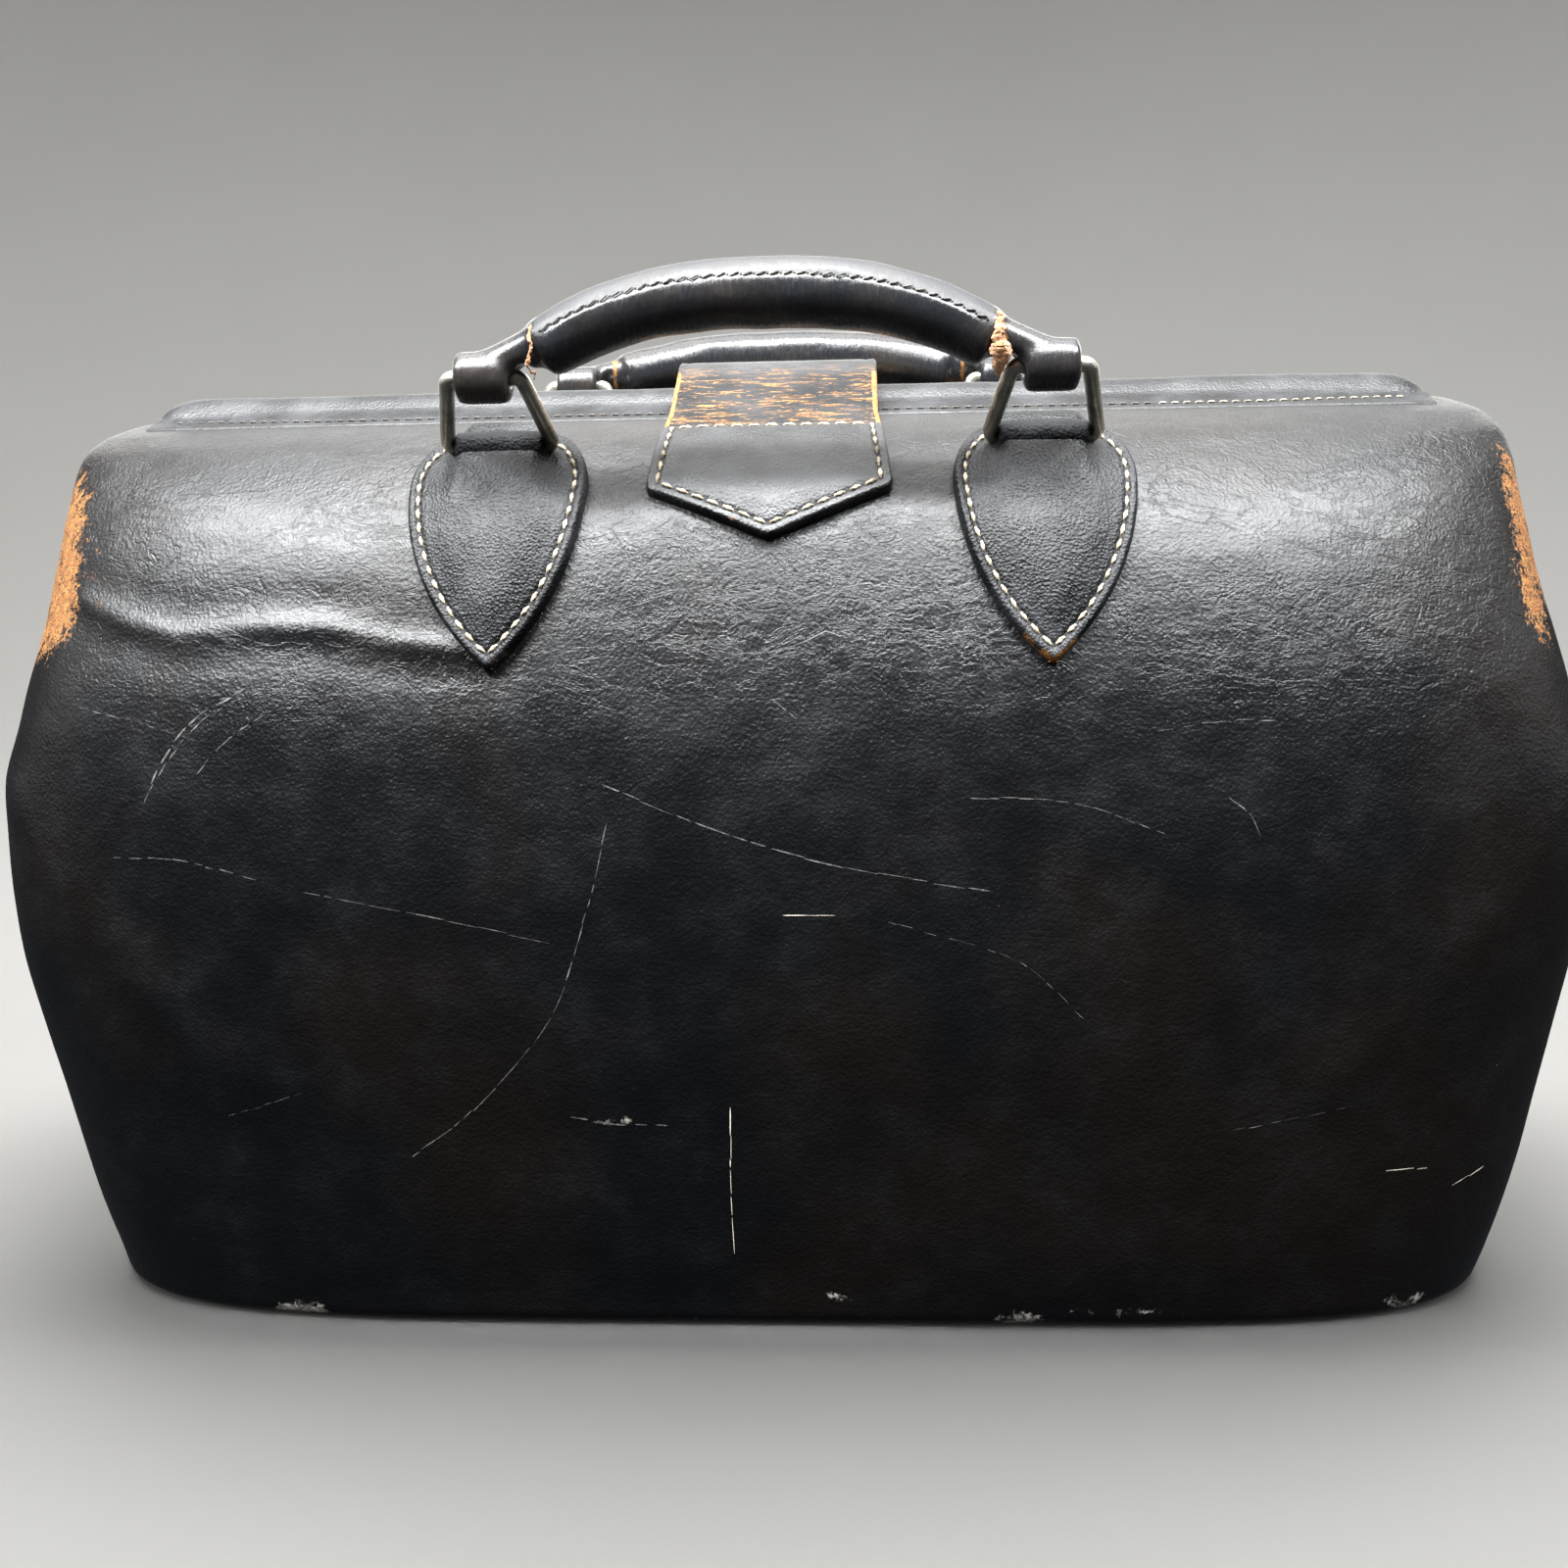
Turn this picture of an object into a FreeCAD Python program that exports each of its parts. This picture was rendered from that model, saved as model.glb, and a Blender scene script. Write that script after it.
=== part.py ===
"""Leather doctor bag, 16 inch frame: a hinged two-jaw frame, stiff leather walls, two handles on wire rings
and a strap that closes over the top.

Millimetres, +Z up, +X along the length, -Y towards the side that the strap is sewn to.
The origin is the middle of the base, on the surface that the bag stands on.
"""
import FreeCAD, Part
import math
import os
from FreeCAD import Vector

# ---- leather walls: height, half width, half length and squareness of the plan outline, base to rail
WALL_LEVELS = [
    (0.0, 91.0, 205.0, 5.0),
    (30.0, 94.5, 213.0, 4.8),
    (75.0, 96.5, 223.0, 4.5),
    (110.0, 96.5, 229.0, 4.3),
    (142.0, 94.5, 230.0, 4.1),
    (170.0, 90.0, 223.0, 4.0),
    (195.0, 83.0, 216.0, 3.8),
    (215.0, 74.5, 212.5, 3.6),
    (229.0, 64.0, 211.0, 3.5),
    (238.5, 51.5, 210.0, 3.4),
    (245.0, 35.0, 205.5, 3.6),
    (249.0, 18.0, 197.0, 4.5),
    (250.5, 9.0, 189.0, 8.0),
]
LEATHER = 2.6            # thickness of the wall leather
MID_GAP = 0.5            # half the gap between the two jaws when they are shut
LOWER_TOP = 100.0        # the walls are stiff below this height
UPPER_BOTTOM = 200.0     # and move with the jaw above this one
SEAM_GAP = 0.4           # gap between wall pieces at a height seam
GUSSET_ANGLE = 25.0      # half the end gusset, as the angle of the plan outline
GUSSET_GAP = 0.3
LINING = 0.9             # lining thickness
LINING_INSET = 5.2       # outer wall face to lining
UPPER_LINING_GAP = 0.5   # wall leather to the lining on a jaw
UPPER_LINING_TOP = 238.0
LOWER_LINING_BOTTOM = 8.0
UPPER_LINING_ANGLE = 8.0     # a jaw's lining stops this far short of the ends
SEAT_BOTTOM = 150.0          # lowest height where anything is sewn to the wall

# ---- base
BASE_LEATHER = 3.0
BASE_BOARD = 2.4
BASE_LINING = 0.9
BASE_INSET = (2.9, 4.1, 5.5)     # leather, board and lining, from the wall's foot

# ---- frame
HINGE_Z = 142.0
FRAME_Y = (1.5, 6.5)     # near and far face of a jaw from the middle plane
FRAME_WIDTH = 8.0        # bar width in its own plane
FRAME_INSET = 4.4        # outer wall face to the leg
LEG_HEIGHTS = (142.0, 168.0, 192.0, 229.0)
RAIL_DEPTH = 11.0
RAIL_HALF = 180.0
RAIL_TOP = 254.0
EYE_RADIUS = 7.5
EYE_THICK = 2.2
EYE_CLEAR = 0.8
FRONT_EYE_X = 221.4      # inner face of the front jaw's eye; the back jaw's eye lies inside it
BACK_EYE_X = 218.8
END_REACH = (200.0, 240.0)   # everything at one hinge lies between these X
PIN_RADIUS = 2.4
PIN_FIT = 0.1            # running clearance of the eyes on the pin
PIN_HEAD = (4.2, 1.4)    # radius, thickness
HINGE_PLATE = 1.6
HINGE_PLATE_HALF = 9.0
PLATE_GAP = 0.5
HINGE_PLATE_BOTTOM = 80.0
COVER_TOP = 257.3        # leather over the rail
COVER_BOTTOM = 250.8
COVER_FACE = 10.5
COVER_HALF = 189.0
COVER_ROUND = 2.0
COVER_TAPER = 5.0        # the cover is shorter at its top by this much at each end

# ---- handle tabs, rings and handles
TAB_X = 72.0
TAB_THICK = 3.2
TAB_LIFT = 0.15          # gap between a sewn-on piece and the wall
TAB_NECK = 11.0
TAB_WIDEST = 23.9
TAB_WIDEST_Z = 228.0
TAB_NECK_Z = 241.5
TAB_TIP_Z = 183.0
TAB_TIP_HALF = 1.2
TAB_SHOULDER = (21.0, 236.5)     # half width and height of a point on the outline above the widest
TAB_FLANK = (19.6, 208.5)        # and below it
OUTLINE_Y = (120.0, 40.0)        # outlines are cut through the wall between these distances
RING_HINGE = (59.0, 239.5)   # distance from the middle plane, height
TAB_LOOP_RADIUS = 4.3
WIRE = 2.0               # ring wire radius
LOOP_FIT = 0.25          # wire in a leather loop
RING_BOTTOM = 14.5       # half widths between wire centres
RING_TOP = 9.6
RING_HEIGHT = 23.0
RING_BEND = 2.6
HANDLE_RISE = 19.0
HANDLE_SPAN = 66.0
GRIP_RADIUS = 8.7
GRIP_END_RADIUS = 7.6
GRIP_END_X = 58.0
END_LOOP_RADIUS = 6.6
END_LOOP_HALF = 7.2
END_LINK = (3.2, 8.6, 5.0)   # bottom, top and half depth of the link from grip to loop
END_HOLE = (-11.5, 18.0)     # the wire's hole runs this far either way from the middle of a loop
CORE_RADIUS = 3.0
FRONT_RING_LEAN = 42.0
FRONT_HANDLE_LEAN = 0.0
BACK_RING_LEAN = 2.0
BACK_HANDLE_LEAN = 60.0

# ---- strap and lock
STRAP_HALF = 29.2
STRAP_WIDE_HALF = 32.4
STRAP_THICK = 3.0
STRAP_INNER = 118.2      # radius of the strap's underside about the hinge axis
STRAP_START = -5.2       # degrees from the middle plane, negative to the front
STRAP_END = 19.5
STRAP_FOLD_GAP = 0.6
ANCHOR_SHOULDER_Z = 243.0    # the sewn end lies on the wall below this height
ANCHOR_STRAIGHT_Z = 246.0    # and widens below this one
ANCHOR_CORNER_Z = 226.5
ANCHOR_TIP_Z = 214.5
HASP_INNER = 115.9
HASP_HALF = 13.0
HASP_SPAN = (8.5, 18.0)
RIVET_X = 9.0
RIVET_SHANK = 1.5        # radius
RIVET_HEAD = (3.0, 0.9)  # radius, height
CASE_OUTER = 115.4
CASE_INNER = 100.0
CASE_HALF = 20.0
CASE_SPAN = (7.0, 27.0)
BUTTON_SPAN = (21.6, 25.4)
BUTTON_HALF = 5.0
BUTTON_TRAVEL = 5.0
BUTTON_OUTER = 118.4
STEM_TURN = 0.7          # half the stem's width, in degrees about the hinge axis
STEM_HALF = 2.0          # half its length


# ------------------------------------------------------------------ the wall surface
def level(t):
    """Smooth values between the wall levels; t counts levels from the base."""
    last = len(WALL_LEVELS) - 1
    index = min(int(t), last - 1)
    f = t - index
    rows = [WALL_LEVELS[min(max(index + k, 0), last)] for k in (-1, 0, 1, 2)]
    mixed = []
    for a, b, c, d in zip(*rows):
        slope_b = (c - a) / 2 if index > 0 else c - b
        slope_c = (d - b) / 2 if index < last - 1 else c - b
        mixed.append((2 * f**3 - 3 * f**2 + 1) * b + (f**3 - 2 * f**2 + f) * slope_b
                     + (3 * f**2 - 2 * f**3) * c + (f**3 - f**2) * slope_c)
    return mixed


def level_at(z):
    """The t at which the wall reaches height z."""
    low, high = 0.0, float(len(WALL_LEVELS) - 1)
    for _ in range(50):
        middle = (low + high) / 2
        if level(middle)[0] < z:
            low = middle
        else:
            high = middle
    return (low + high) / 2


def wall_point(angle, t, gap=MID_GAP):
    """Front wall at a plan angle (0 is +X, 90 is the middle of the front)."""
    z, half_width, half_length, square = level(t)
    c, s = math.cos(math.radians(angle)), math.sin(math.radians(angle))
    size = (abs(c)**square + abs(s)**square)**(1 / square)
    return Vector(half_length * c / size, -gap - (half_width - gap) * s / size, z)


def face_point(x, t):
    """Front wall at a distance x along the bag."""
    z, half_width, half_length, square = level(t)
    reach = (1 - abs(x / half_length)**square)**(1 / square)
    return Vector(x, -MID_GAP - (half_width - MID_GAP) * reach, z)


def offset_point(place, a, t, distance):
    """A point moved out of the wall along its normal."""
    top = len(WALL_LEVELS) - 1
    step_a, step_t = 0.05, 0.01
    along = place(a + step_a, t) - place(a - step_a, t)
    up = place(a, min(t + step_t, top)) - place(a, max(t - step_t, 0))
    normal = up.cross(along)
    point = place(a, t)
    if normal.dot(Vector(point.x, 4 * point.y, 30)) < 0:
        normal = normal * -1
    normal.normalize()
    return point + normal * distance


def spread(span, count):
    return [span[0] + (span[1] - span[0]) * i / (count - 1) for i in range(count)]


def grid(place, a_range, t_range, count_a, count_t, distance):
    """Rows of points over a patch of the wall, all at one distance from it."""
    along = spread(a_range, count_a)
    up = spread(t_range, count_t)
    return [[offset_point(place, a, t, distance) for t in up] for a in along]


def knots(count):
    """Knots and multiplicities of a clamped uniform cubic with count poles."""
    spans = count - 3
    return [float(k) for k in range(spans + 1)], [4] + [1] * (spans - 1) + [4]


def smooth_surface(points):
    """A cubic surface with the grid points as its poles."""
    u_knots, u_mults = knots(len(points))
    v_knots, v_mults = knots(len(points[0]))
    surface = Part.BSplineSurface()
    surface.buildFromPolesMultsKnots(points, u_mults, v_mults, u_knots, v_knots, False, False, 3, 3)
    return surface


def sheet_solid(outer, inner):
    """A closed solid between two point grids."""
    surfaces = [smooth_surface(points) for points in (outer, inner)]
    faces = [surface.toShape() for surface in surfaces]
    borders = []
    for surface in surfaces:
        u_low, u_high, v_low, v_high = surface.bounds()
        borders.append([surface.uIso(u_low), surface.uIso(u_high),
                        surface.vIso(v_low), surface.vIso(v_high)])
    for first, second in zip(*borders):
        faces.append(Part.makeRuledSurface(first.toShape(), second.toShape()))
    shell = Part.makeShell(faces)
    shell.sewShape()
    solid = Part.makeSolid(shell)
    if solid.Volume < 0:
        solid.reverse()
    return solid


def wall_sheet(angles, z_low, z_high, out, inn, count_a=61, count_t=13, gap=MID_GAP):
    """A sheet that follows the wall, its two faces at the distances out and inn from it."""
    t_range = (level_at(z_low), level_at(z_high))

    def place(angle, t):
        return wall_point(angle, t, gap)

    return sheet_solid(grid(place, angles, t_range, count_a, count_t, out),
                       grid(place, angles, t_range, count_a, count_t, inn))


# ------------------------------------------------------------------ small helpers
def mirrored(shape):
    """The same piece on the other side of the middle plane."""
    return shape.mirror(Vector(0, 0, 0), Vector(0, 1, 0))


def other_end(shape):
    return shape.mirror(Vector(0, 0, 0), Vector(1, 0, 0))


def box(x, y, z):
    return Part.makeBox(x[1] - x[0], y[1] - y[0], z[1] - z[0], Vector(x[0], y[0], z[0]))


def cylinder_x(radius, x, y, z):
    return Part.makeCylinder(radius, x[1] - x[0], Vector(x[0], y, z), Vector(1, 0, 0))


def rounded_wire(points, radii):
    """A closed planar wire through the points, each corner rounded by its radius."""
    count = len(points)
    starts, ends, edges = [], [], []
    for i, corner in enumerate(points):
        before = (points[i - 1] - corner).normalize()
        after = (points[(i + 1) % count] - corner).normalize()
        half_turn = before.getAngle(after) / 2
        reach = radii[i] / math.tan(half_turn) if radii[i] > 0 else 0
        starts.append(corner + before * reach)
        ends.append(corner + after * reach)
        if radii[i] > 0:
            middle = (before + after).normalize()
            top = corner + middle * (radii[i] / math.sin(half_turn) - radii[i])
            edges.append(Part.Arc(starts[i], top, ends[i]).toShape())
    for i in range(count):
        if (ends[i] - starts[(i + 1) % count]).Length > 1e-6:
            edges.append(Part.LineSegment(ends[i], starts[(i + 1) % count]).toShape())
    return Part.Wire(Part.__sortEdges__(edges))


def plate_xz(points, radii, y):
    wire = rounded_wire([Vector(px, y[0], pz) for px, pz in points], radii)
    return Part.Face(wire).extrude(Vector(0, y[1] - y[0], 0))


def ring_sector(inner, outer, span, half):
    """A slice of a tube about the hinge axis, between two angles from the middle plane."""
    arcs = []
    for radius in (inner, outer):
        turns = [math.radians(angle) for angle in spread(span, 3)]
        arcs.append([Vector(-half, radius * math.sin(a), HINGE_Z + radius * math.cos(a)) for a in turns])
    edges = [Part.Arc(*arc).toShape() for arc in arcs]
    edges += [Part.LineSegment(arcs[0][k], arcs[1][k]).toShape() for k in (0, 2)]
    face = Part.Face(Part.Wire(Part.__sortEdges__(edges)))
    return face.extrude(Vector(2 * half, 0, 0))


def wall_block(lift, half):
    """Everything under the middle profile of the front wall, for seating a piece on it."""
    profile = spread((level_at(SEAT_BOTTOM), len(WALL_LEVELS) - 1), 17)
    points = [offset_point(face_point, 0, t, lift) for t in profile]
    curve = Part.BSplineCurve()
    curve.interpolate([Vector(-half, p.y, p.z) for p in points])
    start = Vector(-half, points[0].y, points[0].z)
    end = Vector(-half, points[-1].y, points[-1].z)
    inside = Vector(-half, 0, end.z)
    below = Vector(-half, 0, start.z)
    edges = [curve.toShape(), Part.LineSegment(end, inside).toShape(),
             Part.LineSegment(inside, below).toShape(), Part.LineSegment(below, start).toShape()]
    return Part.Face(Part.Wire(edges)).extrude(Vector(2 * half, 0, 0))


PARTS = {}


def add(name, shape):
    PARTS[name] = shape


# ------------------------------------------------------------------ base and walls
def plan_plate(inset, z_low, z_high):
    """A flat plate with the base outline."""
    _, half_width, half_length, square = WALL_LEVELS[0]
    half_width, half_length = half_width - inset, half_length - inset
    points = []
    steps = 72
    for i in range(steps):
        c, s = math.cos(2 * math.pi * i / steps), math.sin(2 * math.pi * i / steps)
        size = (abs(c)**square + abs(s)**square)**(1 / square)
        points.append(Vector(half_length * c / size, half_width * s / size, z_low))
    curve = Part.BSplineCurve()
    curve.interpolate(points, PeriodicFlag=True)
    return Part.Face(Part.Wire(curve.toShape())).extrude(Vector(0, 0, z_high - z_low))


def make_base():
    board_top = BASE_LEATHER + BASE_BOARD
    add("base_panel", plan_plate(BASE_INSET[0], 0, BASE_LEATHER))
    add("base_board", plan_plate(BASE_INSET[1], BASE_LEATHER, board_top))
    add("base_lining", plan_plate(BASE_INSET[2], board_top, board_top + BASE_LINING))


def make_walls():
    side = (GUSSET_ANGLE, 180 - GUSSET_ANGLE)
    lower = wall_sheet(side, 0, LOWER_TOP, 0, -LEATHER)
    add("front_panel_lower", lower)
    add("back_panel_lower", mirrored(lower))
    angles = (GUSSET_GAP - GUSSET_ANGLE, GUSSET_ANGLE - GUSSET_GAP)
    gusset = wall_sheet(angles, 0, LOWER_TOP, 0, -LEATHER, 21, 13, 0)
    add("right_gusset", gusset)
    add("left_gusset", other_end(gusset))
    flex = wall_sheet((0, 180), LOWER_TOP + SEAM_GAP, UPPER_BOTTOM - SEAM_GAP, 0, -LEATHER)
    add("front_panel_flex", flex)
    add("back_panel_flex", mirrored(flex))
    upper = wall_sheet((0, 180), UPPER_BOTTOM, WALL_LEVELS[-1][0], 0, -LEATHER, 61, 21)
    add("front_panel_upper", upper)
    add("back_panel_upper", mirrored(upper))


def make_linings():
    lining_top = LOWER_TOP - 2
    half = wall_sheet((0, 180), LOWER_LINING_BOTTOM, lining_top, -LINING_INSET, -LINING_INSET - LINING)
    add("front_lining_lower", half)
    add("back_lining_lower", mirrored(half))
    inset = LEATHER + UPPER_LINING_GAP
    ends = (UPPER_LINING_ANGLE, 180 - UPPER_LINING_ANGLE)
    upper = wall_sheet(ends, UPPER_BOTTOM + 1, UPPER_LINING_TOP, -inset, -inset - LINING, 61, 13)
    add("front_lining_upper", upper)
    add("back_lining_upper", mirrored(upper))


# ------------------------------------------------------------------ frame and hinges
def leg_x(z, inset):
    return level(level_at(z))[2] - inset


def make_jaw(eye_x):
    """The front jaw; eye_x is where its own hinge eye starts."""
    y = (-FRAME_Y[1], -FRAME_Y[0])
    rail_low = RAIL_TOP - RAIL_DEPTH
    inner = FRAME_INSET + FRAME_WIDTH
    outside = [(leg_x(z, FRAME_INSET), z) for z in LEG_HEIGHTS]
    outside += [(RAIL_HALF + 3, rail_low + 2.5), (RAIL_HALF, RAIL_TOP)]
    outside_radii = [0, 20, 20, 7, 2, 2]
    inside = [(leg_x(z, inner), z) for z in LEG_HEIGHTS[:-1]]
    inside += [(leg_x(LEG_HEIGHTS[-1], inner), LEG_HEIGHTS[-1] - 8), (RAIL_HALF, rail_low - 1)]
    inside_radii = [0, 20, 20, 6, 8]
    points = outside + [(-px, pz) for px, pz in reversed(outside)]
    points += [(-px, pz) for px, pz in inside] + list(reversed(inside))
    radii = outside_radii + outside_radii[::-1] + inside_radii + inside_radii[::-1]
    jaw = plate_xz(points, radii, y)
    clear = EYE_RADIUS + EYE_CLEAR
    for sign in (1, -1):
        reach = sorted((sign * END_REACH[0], sign * END_REACH[1]))
        own = sorted((sign * eye_x, sign * (eye_x + EYE_THICK)))
        stub = jaw.common(box(own, (-30, 30), (HINGE_Z - 1, HINGE_Z + 2 * clear)))
        jaw = jaw.cut(cylinder_x(clear, reach, 0, HINGE_Z))
        eye = cylinder_x(EYE_RADIUS, own, 0, HINGE_Z)
        jaw = jaw.fuse([eye, stub])
        jaw = jaw.cut(cylinder_x(PIN_RADIUS + PIN_FIT, reach, 0, HINGE_Z))
    return jaw.removeSplitter()


def make_frame():
    add("front_frame", make_jaw(FRONT_EYE_X))
    add("back_frame", mirrored(make_jaw(BACK_EYE_X)))
    top_half = COVER_HALF - COVER_TAPER
    outline = [(-COVER_HALF, COVER_BOTTOM), (COVER_HALF, COVER_BOTTOM)]
    outline += [(top_half, COVER_TOP), (-top_half, COVER_TOP)]
    cover = plate_xz(outline, [2.4, 2.4, 3.6, 3.6], (-COVER_FACE, -MID_GAP))
    rim = [edge for edge in cover.Edges if edge.BoundBox.YMax < 0.1 - COVER_FACE]
    cover = cover.makeFillet(COVER_ROUND, rim)
    slot = box((-RAIL_HALF - 2, RAIL_HALF + 2), (-FRAME_Y[1] - 0.05, -FRAME_Y[0] + 0.05),
               (COVER_BOTTOM - 1, RAIL_TOP + 0.05))
    cover = cover.cut(slot)
    add("front_frame_cover", cover)
    add("back_frame_cover", mirrored(cover))


def make_hinge():
    low = HINGE_PLATE_BOTTOM
    heights = spread((low, HINGE_Z + EYE_RADIUS), 6)
    outer = [Vector(leg_x(z, LEATHER + PLATE_GAP), -HINGE_PLATE_HALF, z) for z in heights]
    inner = [Vector(leg_x(z, LEATHER + PLATE_GAP + HINGE_PLATE), -HINGE_PLATE_HALF, z) for z in heights]
    wire = Part.makePolygon(outer + inner[::-1] + outer[:1])
    plate = Part.Face(wire).extrude(Vector(0, 2 * HINGE_PLATE_HALF, 0))
    foot = box(END_REACH, (-HINGE_PLATE_HALF, HINGE_PLATE_HALF), (low, HINGE_Z - 5))
    plate = plate.common(foot.fuse(cylinder_x(EYE_RADIUS, END_REACH, 0, HINGE_Z)))
    plate = plate.cut(cylinder_x(PIN_RADIUS, END_REACH, 0, HINGE_Z)).removeSplitter()
    pin_end = leg_x(HINGE_Z, LEATHER + PLATE_GAP)
    head_x = BACK_EYE_X - 0.4
    pin = cylinder_x(PIN_RADIUS, (head_x - PIN_HEAD[1], pin_end), 0, HINGE_Z)
    pin = pin.fuse(cylinder_x(PIN_HEAD[0], (head_x - PIN_HEAD[1], head_x), 0, HINGE_Z)).removeSplitter()
    for side, turn in (("right", lambda shape: shape), ("left", other_end)):
        add(side + "_hinge_plate", turn(plate))
        add(side + "_hinge_pin", turn(pin))


# ------------------------------------------------------------------ handle tabs, rings, handles
def make_tab():
    """The right front tab: a sewn teardrop whose neck is rolled round the ring's lower bar."""
    t_range = (level_at(TAB_TIP_Z - 4), level_at(TAB_NECK_Z + 2.0))
    x_range = (TAB_X - TAB_WIDEST - 2, TAB_X + TAB_WIDEST + 2)
    skin = sheet_solid(grid(face_point, x_range, t_range, 15, 15, TAB_LIFT + TAB_THICK),
                       grid(face_point, x_range, t_range, 15, 15, TAB_LIFT))
    roof_z = TAB_NECK_Z + 12
    tip_side_z = TAB_TIP_Z + 0.5

    def at(x, z):
        return Vector(TAB_X + x, -OUTLINE_Y[0], z)

    edges = [Part.LineSegment(at(TAB_NECK, roof_z), at(-TAB_NECK, roof_z)).toShape()]
    for side in (1, -1):
        neck = at(side * TAB_NECK, TAB_NECK_Z)
        shoulder = at(side * TAB_SHOULDER[0], TAB_SHOULDER[1])
        widest = at(side * TAB_WIDEST, TAB_WIDEST_Z)
        flank = at(side * TAB_FLANK[0], TAB_FLANK[1])
        tip_side = at(side * TAB_TIP_HALF, tip_side_z)
        edges.append(Part.LineSegment(at(side * TAB_NECK, roof_z), neck).toShape())
        edges.append(Part.Arc(neck, shoulder, widest).toShape())
        edges.append(Part.Arc(widest, flank, tip_side).toShape())
    tip = (at(TAB_TIP_HALF, tip_side_z), at(0, TAB_TIP_Z), at(-TAB_TIP_HALF, tip_side_z))
    edges.append(Part.Arc(*tip).toShape())
    outline = Part.Face(Part.Wire(Part.__sortEdges__(edges)))
    tab = skin.common(outline.extrude(Vector(0, OUTLINE_Y[0] - OUTLINE_Y[1], 0)))
    loop = cylinder_x(TAB_LOOP_RADIUS, (TAB_X - TAB_NECK, TAB_X + TAB_NECK), -RING_HINGE[0], RING_HINGE[1])
    tab = tab.fuse(loop)
    return tab.cut(cylinder_x(WIRE + LOOP_FIT, (TAB_X - 40, TAB_X + 40), -RING_HINGE[0], RING_HINGE[1]))


def make_ring():
    """A wire ring with its lower bar on the X axis and its upper bar above it."""
    points = [Vector(RING_BOTTOM, 0, 0), Vector(RING_TOP, 0, RING_HEIGHT),
              Vector(-RING_TOP, 0, RING_HEIGHT), Vector(-RING_BOTTOM, 0, 0)]
    path = rounded_wire(points, [RING_BEND] * 4)
    first = path.Edges[0]
    start = first.valueAt(first.FirstParameter)
    section = Part.Wire(Part.makeCircle(WIRE, start, first.tangentAt(first.FirstParameter)))
    return path.makePipeShell([section], True, False)


def arch_point(x):
    return Vector(x, 0, HANDLE_RISE * (1 - abs(x / HANDLE_SPAN)**2.6))


def arch_tube(radius_at, half):
    """A tube along the handle's arch, with a radius that changes along it."""
    sections = []
    steps = 16
    for i in range(steps + 1):
        x = -half + 2 * half * i / steps
        direction = (arch_point(min(x + 0.5, half)) - arch_point(max(x - 0.5, -half))).normalize()
        sections.append(Part.Wire(Part.makeCircle(radius_at(x), arch_point(x), direction)))
    return Part.makeLoft(sections, True, False)


def make_handle():
    """A handle with the axis of its end loops on the X axis and its grip above."""
    def grip_radius(x):
        return GRIP_RADIUS - (GRIP_RADIUS - GRIP_END_RADIUS) * abs(x / GRIP_END_X)**2

    core = arch_tube(lambda x: CORE_RADIUS, GRIP_END_X - 4)
    grip = arch_tube(grip_radius, GRIP_END_X + 6)
    grip = grip.common(box((-GRIP_END_X, GRIP_END_X), (-30, 30), (-30, 60)))
    low, high, deep = END_LINK
    for sign in (1, -1):
        loop_x = sorted((sign * (TAB_X - END_LOOP_HALF), sign * (TAB_X + END_LOOP_HALF)))
        link_x = sorted((sign * (GRIP_END_X - 3), sign * (TAB_X - END_LOOP_HALF + 3)))
        link = box(link_x, (-deep, deep), (low, high))
        loop = cylinder_x(END_LOOP_RADIUS, loop_x, 0, 0)
        reach = sorted((sign * (TAB_X + END_HOLE[0]), sign * (TAB_X + END_HOLE[1])))
        grip = grip.fuse([loop, link])
        grip = grip.cut(cylinder_x(WIRE + LOOP_FIT, reach, 0, 0))
    grip = grip.cut(core)
    return grip, core


def hang(shape, lean_ring, lean_handle=None):
    """Puts a ring, or a handle on its rings, on the front tabs' axis, leaning forward by the angles."""
    placed = shape.copy()
    hinge = Vector(0, -RING_HINGE[0], RING_HINGE[1])
    if lean_handle is None:
        placed.rotate(Vector(0, 0, 0), Vector(1, 0, 0), lean_ring)
        placed.translate(hinge)
        return placed
    a = math.radians(lean_ring)
    bar = hinge + Vector(0, -RING_HEIGHT * math.sin(a), RING_HEIGHT * math.cos(a))
    placed.rotate(Vector(0, 0, 0), Vector(1, 0, 0), lean_handle)
    placed.translate(bar)
    return placed


def make_carry():
    tab = make_tab()
    ring = make_ring()
    grip, core = make_handle()
    leans = (("front", FRONT_RING_LEAN, FRONT_HANDLE_LEAN, lambda shape: shape),
             ("back", BACK_RING_LEAN, BACK_HANDLE_LEAN, mirrored))
    for side, ring_lean, handle_lean, turn in leans:
        add(side + "_right_tab", turn(tab))
        add(side + "_left_tab", turn(other_end(tab)))
        for end, sign in (("right", 1), ("left", -1)):
            placed = hang(ring, ring_lean)
            placed.translate(Vector(sign * TAB_X, 0, 0))
            add(side + "_" + end + "_ring", turn(placed))
        add(side + "_handle", turn(hang(grip, ring_lean, handle_lean)))
        add(side + "_handle_core", turn(hang(core, ring_lean, handle_lean)))


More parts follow.
